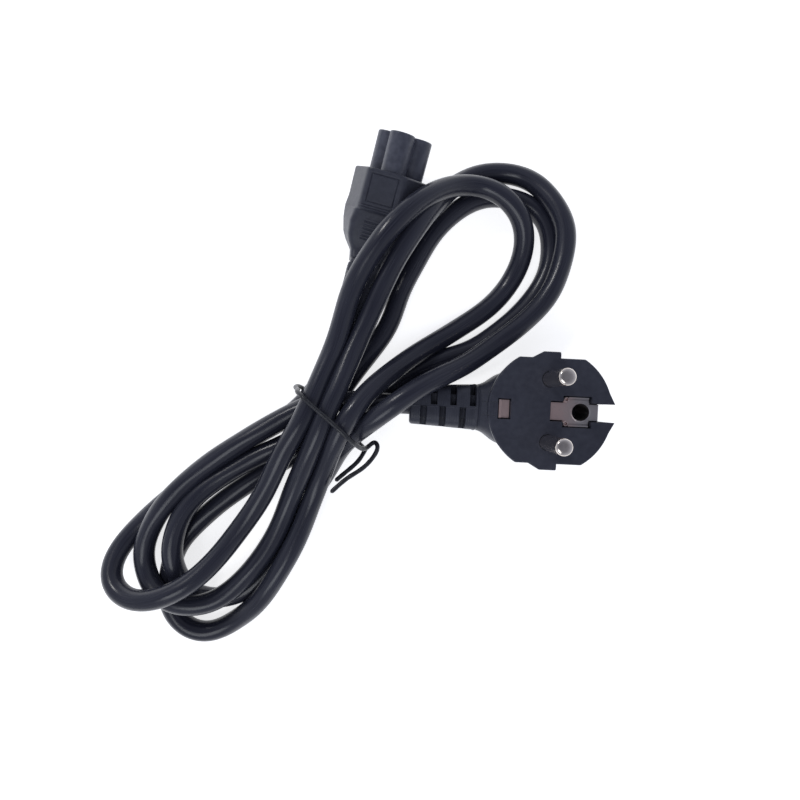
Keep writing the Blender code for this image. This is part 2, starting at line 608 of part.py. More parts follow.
def main():
    clear_scene()
    soft_black = material("black_pvc", (0.012, 0.013, 0.018), 0.42)
    hard_black = material("black_insert", (0.01, 0.01, 0.012), 0.3)
    nickel = material("nickel", (0.72, 0.7, 0.66), 0.2, 1.0)
    brass = material("nickel_brass", (0.66, 0.55, 0.47), 0.32, 1.0)
    wire = material("tie_coating", (0.02, 0.02, 0.022), 0.4)
    cord_black = material("cord_pvc", (0.012, 0.013, 0.018), 0.38)

    make_plug_body(soft_black)
    make_pin("plug_pin_upper", PIN_PITCH / 2, nickel)
    make_pin("plug_pin_lower", -PIN_PITCH / 2, nickel)
    make_earth_contact(brass)
    make_earth_clip(brass)

    place = connector_place()
    make_connector_body(soft_black, place)
    make_connector_nose(hard_black, nose_place(place))
    for name, center in contact_centers().items():
        make_sleeve(f"contact_{name}", center, brass, nose_place(place))

    tube("cord", cord_path(cord_line(place)), CORD_DIAMETER, cord_black, CORD_BEVEL_STEPS)
    tie = smooth_line([Vector(point) * MM for point in TIE_ROUTE], TIE_POINT_COUNT)
    tube("twist_tie", above_floor(tie, TIE_DIAMETER / 2), TIE_DIAMETER, wire, TIE_BEVEL_STEPS)


main()
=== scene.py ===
from math import cos, pi, radians, sin

import bpy
import numpy as np
from mathutils import Matrix, Vector


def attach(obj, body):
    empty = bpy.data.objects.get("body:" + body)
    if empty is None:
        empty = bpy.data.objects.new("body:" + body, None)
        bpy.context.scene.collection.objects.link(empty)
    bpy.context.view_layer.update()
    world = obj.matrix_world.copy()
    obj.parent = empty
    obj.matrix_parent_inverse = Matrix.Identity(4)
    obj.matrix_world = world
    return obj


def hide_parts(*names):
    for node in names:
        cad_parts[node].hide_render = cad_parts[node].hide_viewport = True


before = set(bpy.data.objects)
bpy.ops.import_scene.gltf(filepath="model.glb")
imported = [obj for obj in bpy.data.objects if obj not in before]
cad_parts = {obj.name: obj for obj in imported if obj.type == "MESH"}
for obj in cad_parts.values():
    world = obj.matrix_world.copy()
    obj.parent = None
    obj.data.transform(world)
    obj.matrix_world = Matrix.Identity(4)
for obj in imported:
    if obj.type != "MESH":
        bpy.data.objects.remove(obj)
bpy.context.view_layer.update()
mm = 0.001

# the camera looks straight down on the hank, a little left of the plug
camera = {"lens": 27, "sensor": 36, "place": (-0.0447, 0.0011, 0.2025), "turn": 2.75, "near": 0.01}
cameraData = bpy.data.cameras.new("camera")
cameraData.lens = camera["lens"]
cameraData.sensor_width = camera["sensor"]
cameraData.clip_start = camera["near"]
cameraObject = bpy.data.objects.new("camera", cameraData)
cameraObject.location = camera["place"]
cameraObject.rotation_euler = (0, 0, radians(camera["turn"]))
bpy.context.scene.collection.objects.link(cameraObject)
bpy.context.scene.camera = cameraObject


# a mesh from points, quads and triangles, all arrays; cornerUv holds one (u, v) a corner
def newMesh(name, points, quads, triangles, cornerUv=None):
    data = bpy.data.meshes.new(name)
    corners = np.concatenate([np.ravel(quads), np.ravel(triangles)]).astype(np.int32)
    counts = np.concatenate([np.full(len(quads), 4), np.full(len(triangles), 3)]).astype(np.int32)
    starts = np.concatenate([[0], np.cumsum(counts)[:-1]]).astype(np.int32)
    data.vertices.add(len(points))
    data.vertices.foreach_set("co", np.asarray(points, np.float32).ravel())
    data.loops.add(len(corners))
    data.loops.foreach_set("vertex_index", corners)
    data.polygons.add(len(counts))
    data.polygons.foreach_set("loop_start", starts)
    data.polygons.foreach_set("loop_total", counts)
    data.update(calc_edges=True)
    if cornerUv is not None:
        layer = data.uv_layers.new(name="run")
        layer.data.foreach_set("uv", np.asarray(cornerUv, np.float32).ravel())
    data.validate()
    return data


# the volume inside triangles: a sixth of the sum of the corners' triple products
def volumeOf(points, quads, triangles):
    flat = np.vstack([quads[:, [0, 1, 2]], quads[:, [0, 2, 3]], triangles])
    a, b, c = points[flat[:, 0]], points[flat[:, 1]], points[flat[:, 2]]
    return np.einsum("ij,ij->i", a, np.cross(b, c)).sum() / 6


# a closed surface from a grid of rings (rows, columns, 3): quads between the rings, a fan in each end
def ringSurface(name, grid, withUv=False, uvRun=None):
    rows, columns = grid.shape[:2]
    points = np.vstack([grid.reshape(-1, 3), grid[0].mean(axis=0), grid[-1].mean(axis=0)])
    row, column = np.meshgrid(np.arange(rows - 1), np.arange(columns), indexing="ij")
    after = (column + 1) % columns
    quads = np.stack([row * columns + column, row * columns + after,
                      (row + 1) * columns + after, (row + 1) * columns + column], axis=-1).reshape(-1, 4)
    ring = np.arange(columns)
    first = np.stack([np.full(columns, rows * columns), (ring + 1) % columns, ring], axis=1)
    last = np.stack([np.full(columns, rows * columns + 1), (rows - 1) * columns + ring,
                     (rows - 1) * columns + (ring + 1) % columns], axis=1)
    triangles = np.vstack([first, last])
    cornerUv = None
    if withUv:
        share = np.stack([column, column + 1, column + 1, column], axis=-1).reshape(-1, 4) / columns
        along = uvRun[np.stack([row, row, row + 1, row + 1], axis=-1).reshape(-1, 4)]
        ends = np.repeat(uvRun[[0, -1]], columns)[:, None] * np.ones(3)
        endShare = np.tile(ring / columns, 2)[:, None] * np.ones(3)
        cornerUv = np.vstack([np.stack([share, along], axis=-1).reshape(-1, 2),
                              np.stack([endShare, ends], axis=-1).reshape(-1, 2)])
    if volumeOf(points, quads, triangles) < 0:
        quads, triangles = quads[:, ::-1], triangles[:, ::-1]
        if cornerUv is not None:
            edge = len(quads) * 4
            sides = cornerUv[:edge].reshape(-1, 4, 2)[:, ::-1].reshape(-1, 2)
            caps = cornerUv[edge:].reshape(-1, 3, 2)[:, ::-1].reshape(-1, 2)
            cornerUv = np.vstack([sides, caps])
    return newMesh(name, points, quads, triangles, cornerUv)


# points of any array shape moved by a 4 x 4 matrix
def placed(points, matrix):
    m = np.array(matrix)
    return points @ m[:3, :3].T + m[:3, 3]


def pieceOf(name, data):
    made = bpy.data.objects.new(name, data)
    bpy.context.scene.collection.objects.link(made)
    return made


# cutters and additions worked into a mesh one after another, then baked into new mesh data
def combined(name, data, steps):
    base = pieceOf(name + "Base", data)
    helpers = []
    for operation, helperData in steps:
        helper = pieceOf(name + "Helper", helperData)
        helpers.append(helper)
        step = base.modifiers.new(operation.lower(), "BOOLEAN")
        step.operation = operation
        step.solver = "EXACT"
        step.object = helper
    bpy.context.view_layer.update()
    graph = bpy.context.evaluated_depsgraph_get()
    made = bpy.data.meshes.new_from_object(base.evaluated_get(graph), depsgraph=graph)
    made.name = name
    for helper in [base] + helpers:
        bpy.data.objects.remove(helper, do_unlink=True)
    return made


# smooth shading with real edges kept sharp, and flat faces kept flat beside their rounded edges
def finishShading(made, angle=32):
    made.data.shade_smooth()
    made.data.set_sharp_from_angle(angle=radians(angle))
    step = made.modifiers.new("facets", "WEIGHTED_NORMAL")
    step.keep_sharp = True
    step.weight = 60
    return made


# a profile of (radius, height) turned about z: x = r cos t, y = r sin t
def turnedSurface(name, profile, columns, center=(0, 0)):
    profile = np.array(profile, float)
    turn = np.linspace(0, 2 * pi, columns, endpoint=False)
    grid = np.stack([profile[:, :1] * np.cos(turn) + center[0],
                     profile[:, :1] * np.sin(turn) + center[1],
                     profile[:, 1:] + 0 * turn], axis=-1)
    return ringSurface(name, grid)


# an outline moved inwards by depth: each corner goes along the mean of its two sides' normals
def shrunk(outline, depth):
    outline = np.array(outline, float)
    along = np.roll(outline, -1, axis=0) - outline
    along /= np.linalg.norm(along, axis=1)[:, None]
    inward = np.stack([-along[:, 1], along[:, 0]], axis=1)
    before = np.roll(inward, 1, axis=0)
    reach = (inward + before) / (1 + (inward * before).sum(axis=1))[:, None]
    return outline + depth * reach


# an outline in x and y (anticlockwise) carried through (height, inset) levels
def leveledPrism(name, outline, levels):
    grid = np.stack([np.column_stack([shrunk(outline, inset), np.full(len(outline), height)])
                     for height, inset in levels])
    return ringSurface(name, grid)


# sides of an outline cut into short steps of about the given length
def dense(outline, step):
    outline = np.array(outline, float)
    ends = np.roll(outline, -1, axis=0)
    counts = np.maximum(1, np.round(np.linalg.norm(ends - outline, axis=1) / step)).astype(int)
    return np.vstack([a + (b - a) * np.linspace(0, 1, n, endpoint=False)[:, None]
                      for a, b, n in zip(outline, ends, counts)])


# a closed line evened out by a bell-shaped average over so many points each way
def evenedRing(ring, reach):
    size = int(4 * reach)
    weights = np.exp(-0.5 * (np.arange(-size, size + 1) / reach) ** 2)
    weights /= weights.sum()
    padded = np.concatenate([ring[-size:], ring, ring[:size]])
    return np.stack([np.convolve(padded[:, axis], weights, "valid") for axis in range(ring.shape[1])], axis=1)


def smoothStep(low, high, value):
    share = np.clip((value - low) / (high - low), 0, 1)
    return share * share * (3 - 2 * share)


# cord: the plug's exit, the connector's place and the route its centre line takes between them
cord = {"diameter": 6.7 * mm, "evening": 3.5 * mm, "lead": 5 * mm, "fit": 0.3 * mm, "samples": 3000,
        "rings": 1400, "sides": 28, "swell": 0.09 * mm, "lay": 0.062, "tuck": 2.5 * mm}
plugExit = {"distance": 41.5 * mm, "height": 8.5 * mm}
connector = {"root": (-48.8 * mm, 74.4 * mm, 0), "turn": -14.5, "lean": -4, "foot": 13.2 * mm, "up": 16,
             "upFrom": 20 * mm, "levelFrom": 34 * mm, "reliefEnd": 50.3 * mm, "axisHeight": 6.3 * mm,
             "noseAside": 0.5 * mm}
cordRoute = np.array((
    (-52.5, 0, 10.5), (-68.5, -0.5, 11.5), (-81, -6, 11), (-96.5, -16, 10.5),
    (-104, -21.5, 10), (-111, -27.5, 10), (-119.5, -37.5, 10), (-125.5, -50.5, 7.5),
    (-124.5, -59.5, 7), (-117.5, -66, 10.5), (-105.5, -67.5, 11), (-96.5, -63, 10.5),
    (-86, -50.5, 10), (-81, -40.5, 10), (-78, -31.5, 11), (-70.5, -13, 17.5),
    (-67, -3.5, 18.5), (-63.5, 5.5, 18), (-58.5, 19.5, 16), (-55.2, 27.5, 16.2),
    (-50.5, 39.3, 17.5), (-43.9, 51.6, 19), (-39.9, 58.2, 17.4), (-35.6, 64.6, 12.6), (-29.8, 72.6, 5),
    (-22, 77, 3.5), (-8, 77, 4), (1, 69, 7.5), (6, 58.5, 9.5),
    (5, 46.5, 9.5), (2, 38, 9.5), (-3.5, 30.5, 9.5), (-17.5, 18.5, 11),
    (-26, 12.5, 14), (-40, 4.5, 19), (-52, -5, 17.5), (-61.5, -13, 10.5),
    (-67.5, -23, 5), (-74.5, -35.5, 3.5), (-81, -50, 3.5), (-85.5, -57.5, 3.5),
    (-93.5, -65, 3.5), (-108.5, -67, 3.5), (-113.5, -59.5, 8.5), (-115.5, -51, 10.5),
    (-112.3, -37.7, 10), (-105, -29.3, 8.5), (-94.9, -22.2, 8), (-87.3, -17.9, 8),
    (-77, -12.5, 7.5), (-67.5, -2.5, 5), (-60, 10, 4), (-50.3, 24.1, 3.5),
    (-46.6, 35.8, 3.5), (-40.8, 48.7, 3.5), (-36.4, 56.7, 3.5), (-26, 67, 3.5),
    (-15, 70, 3.5), (-3.5, 67, 3.5), (2, 60, 3.5), (2, 45, 3.5),
    (-6.5, 31.5, 3.5), (-13.5, 25, 3.5), (-21.5, 19, 3.5), (-32.5, 15, 3.5),
    (-45, 8, 3.5), (-56, -2, 4.6), (-65, -10.5, 6), (-79.5, -19, 3.5),
    (-90.5, -26.5, 3.5), (-101, -34.5, 3.5), (-111.5, -44.5, 3.5), (-117, -53, 3.5),
    (-118.5, -65.5, 3.5), (-115.5, -74.5, 3.5), (-105.5, -79, 3.5), (-94.5, -73.5, 4),
    (-87.5, -66.5, 8), (-78.5, -51.5, 10.5), (-74.5, -42, 10), (-71.5, -33, 10),
    (-68.5, -24, 12), (-65.5, -16, 15.5), (-62, -8, 18.5), (-57.5, -0.5, 18),
    (-51.5, 6.5, 14.5), (-43, 14, 9), (-32, 22, 5), (-20.5, 30, 3.5),
    (-10, 41.5, 3.5), (-6.5, 55, 7), (-9.5, 63, 10), (-16.5, 69, 10.5),
    (-25.5, 71, 10.5), (-38.6, 64.3, 19), (-48.4, 54.4, 23.5), (-53.9, 47.3, 22.4),
    (-59.5, 38, 19.5), (-62.5, 29.5, 18), (-65.5, 17, 17), (-68.5, 9, 17.5),
    (-75, -8, 18.5), (-79.5, -15.5, 16.5), (-85.5, -29, 14), (-93.5, -42.5, 13),
    (-100, -51.5, 14.5), (-106, -58, 16.5), (-115.5, -63.5, 17), (-128.5, -65.5, 13),
    (-135.5, -59, 9), (-131, -47, 4.5), (-121.5, -37, 3.5), (-113.5, -29.5, 3.5),
    (-106, -23, 3.5), (-98.5, -17.5, 3.5), (-88, -10.5, 4), (-80.5, -5.5, 4.5),
    (-72, 4, 5), (-67.3, 12.5, 5.9),
)) * mm


# the connector's own frame: +Y along its nose, leaning on its left foot edge
def connectorPlace():
    hinge = Matrix.Translation((-connector["foot"], 0, 0))
    lean = Matrix.Rotation(radians(connector["lean"]), 4, "Y")
    turn = Matrix.Rotation(radians(connector["turn"]), 4, "Z")
    return Matrix.Translation(connector["root"]) @ turn @ hinge @ lean @ hinge.inverted()


# points (x, -back, z) turned up about the line y = -upFrom by share of the whole angle
def turnedUp(points, share):
    angle = share * radians(connector["up"])
    y, z = points[..., 1] + connector["upFrom"], points[..., 2]
    return np.stack([points[..., 0], y * np.cos(angle) - z * np.sin(angle) - connector["upFrom"],
                     y * np.sin(angle) + z * np.cos(angle)], axis=-1)


# evenly spaced points on a natural cubic spline, its knots a root of a chord apart
def smoothLine(points, count):
    points = np.array(points, float)
    steps = np.sqrt(np.linalg.norm(np.diff(points, axis=0), axis=1))
    knots = np.concatenate([[0], np.cumsum(steps)])
    n = len(points)
    slopes = np.diff(points, axis=0) / steps[:, None]
    system = np.diag(np.concatenate([[1], 2 * (steps[:-1] + steps[1:]), [1]]))
    system += np.diag(np.concatenate([steps[:-1], [0]]), -1) + np.diag(np.concatenate([[0], steps[1:]]), 1)
    right = np.zeros((n, 3))
    right[1:-1] = 6 * np.diff(slopes, axis=0)
    bend = np.linalg.solve(system, right)
    at = np.linspace(0, knots[-1], 40 * n)
    k = np.clip(np.searchsorted(knots, at, side="right") - 1, 0, n - 2)
    h = steps[k][:, None]
    before, after = (knots[k + 1] - at)[:, None], (at - knots[k])[:, None]
    line = (bend[k] * before ** 3 + bend[k + 1] * after ** 3) / (6 * h)
    line += (points[k] / h - bend[k] * h / 6) * before + (points[k + 1] / h - bend[k + 1] * h / 6) * after
    return evenlySpaced(line, count)


def runAlong(line):
    return np.concatenate([[0], np.cumsum(np.linalg.norm(np.diff(line, axis=0), axis=1))])


def evenlySpaced(line, count):
    run = runAlong(line)
    marks = np.linspace(0, run[-1], count)
    return np.stack([np.interp(marks, run, line[:, axis]) for axis in range(3)], axis=1)


# an open line evened by a bell-shaped average over reach each way, its ends kept
def evenedLine(line, reach):
    step = np.linalg.norm(line[1] - line[0])
    size = int(4 * reach / step)
    weights = np.exp(-0.5 * (np.arange(-size, size + 1) * step / reach) ** 2)
    weights /= weights.sum()
    padded = np.vstack([2 * line[0] - line[size:0:-1], line, 2 * line[-1] - line[-2:-size - 2:-1]])
    return np.stack([np.convolve(padded[:, axis], weights, "valid") for axis in range(3)], axis=1)


def cordLine():
    leads = [(-plugExit["distance"] - run, 0, plugExit["height"]) for run in (cord["fit"], cord["lead"])]
    ends = [connectorPlace() @ Vector((0, -connector["reliefEnd"] - run, connector["axisHeight"]))
            for run in (cord["lead"], cord["fit"])]
    route = np.vstack([leads, cordRoute, [tuple(end) for end in ends]])
    line = evenedLine(smoothLine(route, cord["samples"]), cord["evening"])
    line[:, 2] = np.maximum(line[:, 2], cord["diameter"] / 2)
    return line


# a tube round a line: centre + r (cos t side + sin t up), side = world up x heading;
# radius (share along, angle) gives r, and with roundEnds set a rounded end closes each side
def tubeSurface(name, line, radius, columns, roundEnds=False):
    heading = np.gradient(line, axis=0)
    heading /= np.linalg.norm(heading, axis=1)[:, None]
    side = np.zeros_like(heading)
    side[0] = np.cross((0, 0, 1), heading[0])
    for i in range(1, len(line)):
        side[i] = side[i - 1] - heading[i] * (side[i - 1] @ heading[i])
        side[i] /= np.linalg.norm(side[i])
    rise = np.cross(heading, side)
    run = runAlong(line)
    turn = np.linspace(0, 2 * pi, columns, endpoint=False)
    r = radius(run[:, None], turn[None, :]) + 0 * run[:, None] * turn
    if roundEnds:
        size = r.max()
        lap = np.minimum(run, run[-1] - run) / size
        r = r * np.sqrt(np.clip(1 - (1 - np.clip(lap, 0.02, 1)) ** 2, 0, 1))[:, None]
    grid = line[:, None] + r[..., None] * (np.cos(turn)[None, :, None] * side[:, None]
                                           + np.sin(turn)[None, :, None] * rise[:, None])
    return ringSurface(name, grid, True, run)


def makeCord():
    centre = cordLine()
    centre = evenlySpaced(centre, cord["rings"])
    first = centre[0] + (centre[0] - centre[1]) / np.linalg.norm(centre[0] - centre[1]) * cord["tuck"]
    last = centre[-1] + (centre[-1] - centre[-2]) / np.linalg.norm(centre[-1] - centre[-2]) * cord["tuck"]
    path = np.vstack([first, centre, last])

    # three cores laid round each other lift the jacket a little: r = R + swell (cos 3(t - 2 pi v / lay) - 1)
    def jacket(run, turn):
        laid = 3 * (turn - 2 * pi * run / cord["lay"])
        return cord["diameter"] / 2 + cord["swell"] * 0.5 * (np.cos(laid) - 1)

    made = pieceOf("cordJacket", tubeSurface("cordJacket", path, jacket, cord["sides"]))
    made.data.shade_smooth()
    return made, path, runAlong(centre)[-1]


print("camera and cord route")
cordJacket, cordPath, cordLength = makeCord()
print("cord", round(cordLength, 3), "m")


# shader maths: a wrapped socket, with the operators that are used
class Value:
    def __init__(self, board, socket):
        self.board, self.socket = board, socket

    def math(self, operation, *others):
        return self.board.node("ShaderNodeMath", {"operation": operation},
                               dict(enumerate((self,) + others)))

    def __add__(self, other):
        return self.math("ADD", other)

    def __radd__(self, other):
        return self.math("ADD", other)

    def __sub__(self, other):
        return self.math("SUBTRACT", other)

    def __rsub__(self, other):
        return self.board.node("ShaderNodeMath", {"operation": "SUBTRACT"}, {0: other, 1: self})

    def __mul__(self, other):
        return self.math("MULTIPLY", other)

    def __rmul__(self, other):
        return self.math("MULTIPLY", other)

    def __truediv__(self, other):
        return self.math("DIVIDE", other)

    def __pow__(self, other):
        return self.math("POWER", other)

    def least(self, other):
        return self.math("MINIMUM", other)

    def most(self, other):
        return self.math("MAXIMUM", other)

    def size(self):
        return self.math("ABSOLUTE")

    def sine(self):
        return self.math("SINE")

    def cosine(self):
        return self.math("COSINE")

    # 0 below low, 1 above high, and a smooth step between
    def ramp(self, low, high):
        return self.board.node("ShaderNodeMapRange", {"interpolation_type": "SMOOTHSTEP"},
                               {"Value": self, "From Min": low, "From Max": high})


class Board:
    def __init__(self, name):
        self.look = bpy.data.materials.new(name)
        self.look.use_nodes = True
        self.tree = self.look.node_tree
        self.shader = self.tree.nodes["Principled BSDF"]

    # any node: its type, its settings first, then the values or links of its sockets
    def node(self, kind, settings=None, sockets=None, out=0):
        made = self.tree.nodes.new(kind)
        for key, setting in (settings or {}).items():
            setattr(made, key, setting)
        for key, value in (sockets or {}).items():
            self.put(made.inputs[key], value)
        return Value(self, made.outputs[out])

    def put(self, socket, value):
        if isinstance(value, Value):
            self.tree.links.new(value.socket, socket)
        elif value is not None:
            socket.default_value = value

    def place(self):
        return self.node("ShaderNodeTexCoord", out="Object")

    def axes(self, vector):
        split = self.tree.nodes.new("ShaderNodeSeparateXYZ")
        self.put(split.inputs[0], vector)
        return [Value(self, split.outputs[k]) for k in range(3)]

    def vector(self, x, y, z):
        return self.node("ShaderNodeCombineXYZ", None, {0: x, 1: y, 2: z})

    def stretch(self, vector, scale):
        return self.node("ShaderNodeVectorMath", {"operation": "MULTIPLY"}, {0: vector, 1: scale})

    def noise(self, vector, scale, detail=2.0, rough=0.5):
        return self.node("ShaderNodeTexNoise", {"noise_dimensions": "3D"},
                         {"Vector": vector, "Scale": scale, "Detail": detail, "Roughness": rough})

    def mix(self, share, first, second):
        made = self.tree.nodes.new("ShaderNodeMix")
        made.data_type = "RGBA"
        self.put(made.inputs["Factor"], share)
        self.put(made.inputs[6], first)
        self.put(made.inputs[7], second)
        return Value(self, made.outputs[2])

    def bump(self, height, distance, strength=1.0, under=None):
        return self.node("ShaderNodeBump", None,
                         {"Height": height, "Distance": distance, "Strength": strength, "Normal": under})

    def set(self, **inputs):
        for key, value in inputs.items():
            self.put(self.shader.inputs[key.replace("_", " ")], value)


# moulded PVC: fine matt grain, faint flow marks, a little lighter where it is rubbed, and painted shade in any sunk
# mould lines
mouldedPvc = {"dark": (0.032, 0.0345, 0.050, 1), "light": (0.046, 0.0495, 0.069, 1), "rough": 0.42}


def mouldedLook(name, lines=None):
    b = Board(name)
    at = b.place()
    grain = b.noise(at, 5200, 3, 0.6)
    soft = b.noise(at, 620, 3, 0.55)
    flow = b.noise(at, 70, 3, 0.5)
    specks = b.noise(at, 2300, 1, 0.4).ramp(0.70, 0.80)
    tone = (flow * 0.55 + soft * 0.45).ramp(0.32, 0.68)
    colour = b.mix(tone, mouldedPvc["dark"], mouldedPvc["light"])
    colour = b.mix(specks * 0.22, colour, (0.075, 0.08, 0.095, 1))
    rough = mouldedPvc["rough"] + (soft - 0.5) * 0.16 + (grain - 0.5) * 0.1
    normal = b.bump(flow, 0.00016, 0.6)
    normal = b.bump(grain * 0.6 + soft * 0.8, 0.00003, 0.8, normal)
    if lines is not None:
        depth = lines(b, at)
        normal = b.bump(depth, 0.00012, 1.0, normal)
        # painted shade: where the lines sink in, the colour is darkened towards near black
        colour = b.mix((depth * -1).ramp(0.1, 1.0) * 0.5, colour, (0.008, 0.009, 0.014, 1))
    b.set(Base_Color=colour, Roughness=rough.most(0.22).least(0.75), Normal=normal,
          Specular_IOR_Level=0.34, IOR=1.5)
    return b.look


# a ridge or groove line: 1 on the line, 0 further than width from it
def lineMask(value, middle, width):
    return 1 - (value - middle).size().ramp(width * 0.35, width)


def insideMask(value, low, high, soft):
    return value.ramp(low - soft, low) * (1 - value.ramp(high, high + soft))


# the plug's mould lines: a parting line along the relief, tool marks and the outline of its neck; the sunk neck and
# cross lines also get painted shade in mouldedLook
def plugLines(b, at):
    x, y, z = b.axes(at)
    onRelief = 1 - x.ramp(-0.0205, -0.0195)
    onNeck = insideMask(x, -0.0192, -0.0150, 0.0003)
    above = z.ramp(0.012, 0.013)
    parting = lineMask(y, -0.0003, 0.00022) * onRelief
    neck = (lineMask(y, 0.0019, 0.0002) + lineMask(y, -0.0022, 0.0002)) * onNeck * above
    cross = lineMask(x, -0.0165, 0.0002) * insideMask(y, -0.0022, 0.0019, 0.0001) * above
    tool = (x * 9000).sine() * onRelief * 0.07
    return parting * 0.5 - neck * 0.55 - cross * 0.5 + tool


# the cord's jacket: streaks along its length and a fine drawn grain, read from its own map
cordPvc = {"dark": (0.018, 0.0195, 0.032, 1), "light": (0.031, 0.033, 0.049, 1), "rough": 0.25}


def cordLook(name):
    b = Board(name)
    u, v, _ = b.axes(b.node("ShaderNodeUVMap", {"uv_map": "run"}))
    around = u * (2 * pi)
    ringX, ringY = around.cosine() * 0.00335, around.sine() * 0.00335
    streak = b.noise(b.vector(ringX, ringY, v * 0.03), 2600, 2, 0.5)
    grain = b.noise(b.vector(ringX, ringY, v * 0.6), 5200, 3, 0.6)
    scuff = b.noise(b.vector(ringX, ringY, v * 0.25), 420, 3, 0.6)
    wave = b.noise(b.vector(ringX, ringY, v * 0.5), 60, 2, 0.5)
    tone = (streak * 0.5 + wave * 0.5).ramp(0.34, 0.66)
    colour = b.mix(tone, cordPvc["dark"], cordPvc["light"])
    colour = b.mix(scuff.ramp(0.62, 0.78) * 0.25, colour, (0.06, 0.064, 0.08, 1))
    rough = cordPvc["rough"] + (scuff - 0.5) * 0.16 + (streak - 0.5) * 0.08
    normal = b.bump(wave, 0.0003, 0.35)
    normal = b.bump(streak * 0.9 + grain * 0.4, 0.00002, 0.8, normal)
    b.set(Base_Color=colour, Roughness=rough.most(0.14).least(0.6), Normal=normal,
          Specular_IOR_Level=0.42, IOR=1.5)
    return b.look


# the nose: the same plastic, smoother, with faint draw marks along it; its base colour is made lighter than the body's,
# as painted light
def noseLook(name):
    b = Board(name)
    at = b.place()
    grain = b.noise(at, 4200, 3, 0.6)
    soft = b.noise(at, 500, 2, 0.5)
    draw = b.noise(b.stretch(at, (1.0, 0.12, 1.0)), 2400, 2, 0.5)
    # painted light: both tones are lighter than the body plastic's, standing in for the light the nose catches
    colour = b.mix(soft.ramp(0.35, 0.65), (0.052, 0.056, 0.080, 1), (0.072, 0.077, 0.106, 1))
    rough = 0.36 + (soft - 0.5) * 0.12 + (draw - 0.5) * 0.12
    normal = b.bump(soft, 0.00008, 0.5)
    normal = b.bump(grain * 0.5 + draw * 0.5, 0.00002, 0.8, normal)
    b.set(Base_Color=colour, Roughness=rough, Normal=normal, IOR=1.5)
    return b.look


# nickel: turned rings and fine scratches along each pin
def nickelLook(name):
    b = Board(name)
    at = b.place()
    x, y, z = b.axes(at)
    turned = b.noise(b.vector(x * 0.15, y * 0.15, z), 9000, 2, 0.5)
    drawn = b.noise(b.vector(x, y, z * 0.06), 7000, 2, 0.6)
    haze = b.noise(at, 450, 3, 0.6)
    colour = b.mix(haze.ramp(0.35, 0.7), (0.80, 0.74, 0.69, 1), (0.66, 0.60, 0.55, 1))
    rough = 0.12 + haze * 0.08 + (drawn - 0.5) * 0.05
    normal = b.bump(turned * 0.5 + drawn * 0.3, 0.000005, 0.6)
    b.set(Base_Color=colour, Roughness=rough, Metallic=1.0, Normal=normal)
    return b.look


# nickel brass: warm and pinkish by the cord, greyer towards the notch, with rolling marks and smears
def brassLook(name, warmTo=0.0115):
    b = Board(name)
    at = b.place()
    x, y, z = b.axes(at)
    rolled = b.noise(b.stretch(at, (1.0, 0.08, 1.0)), 5200, 3, 0.6)
    smear = b.noise(at, 520, 3, 0.6)
    shift = x.ramp(0.002, warmTo) + (smear - 0.5) * 0.5
    colour = b.mix(shift.most(0).least(1), (0.66, 0.50, 0.47, 1), (0.46, 0.44, 0.44, 1))
    colour = b.mix(smear.ramp(0.55, 0.8) * 0.4, colour, (0.33, 0.28, 0.27, 1))
    rough = 0.30 + smear * 0.16 + (rolled - 0.5) * 0.12
    normal = b.bump(rolled * 0.7 + smear * 0.5, 0.00002, 0.8)
    b.set(Base_Color=colour, Roughness=rough, Metallic=1.0, Normal=normal)
    return b.look


# the tie's plastic coat over its wire: glossy, with small dents along it
def tieLook(name):
    b = Board(name)
    at = b.place()
    dent = b.noise(at, 900, 3, 0.6)
    grain = b.noise(at, 6000, 2, 0.5)
    colour = b.mix(dent.ramp(0.35, 0.7), (0.012, 0.013, 0.018, 1), (0.026, 0.028, 0.036, 1))
    b.set(Base_Color=colour, Roughness=0.26 + dent * 0.2,
          Normal=b.bump(dent * 1.0 + grain * 0.2, 0.00006, 0.7), IOR=1.5)
    return b.look


def give(made, look):
    made.data.materials.clear()
    made.data.materials.append(look)


plugPvc = mouldedLook("plugPvc", plugLines)
connectorPvc = mouldedLook("connectorPvc")
jacketPvc = cordLook("cordPvc")
noseInsert = noseLook("noseInsert")
nickel = nickelLook("nickel")
nickelBrass = brassLook("nickelBrass")
tieCoating = tieLook("tieCoating")
print("materials")


# plug: disc with flats, ribs and notch, joined to a slotted strain relief
plug = {"height": 23 * mm, "radius": 18.7 * mm, "centerX": 0.45 * mm, "flat": 15.9 * mm, "rib": 17.8 * mm,
        "ribX": (-2.2 * mm, 2.9 * mm), "ribRamp": 3.3 * mm, "topRound": 0.5 * mm, "backRound": 2 * mm,
        "draft": 1.8 * mm, "step": 0.16 * mm, "cornerEvening": 1.1, "notchX": 15.25 * mm, "notchHalf": 2.65 * mm,
        "horn": 0.95 * mm, "hornFrom": 20, "hornTo": 8}
relief = {"rings": np.array(((9, 13.0, 10.6, 10.3), (14.5, 10.6, 10, 9.7), (17.6, 8.3, 9.2, 8.4),
                             (19.3, 7.5, 8.8, 7.5), (20.8, 7.3, 8.6, 6.9), (30, 6.8, 8.5, 6.6),
                             (40.7, 6.3, 8.5, 6.2), (41.5, 6.2, 8.5, 6.2))) * mm,
          "axis": 8.5 * mm, "core": 3.7 * mm, "spine": 0.3 * mm, "slot": 1.85 * mm,
          "slotsUp": (34 * mm, 27.9 * mm, 21.8 * mm), "slotsDown": (37.2 * mm, 31.2 * mm, 24.9 * mm),
          "edge": 0.16 * mm, "endRound": 0.9 * mm}


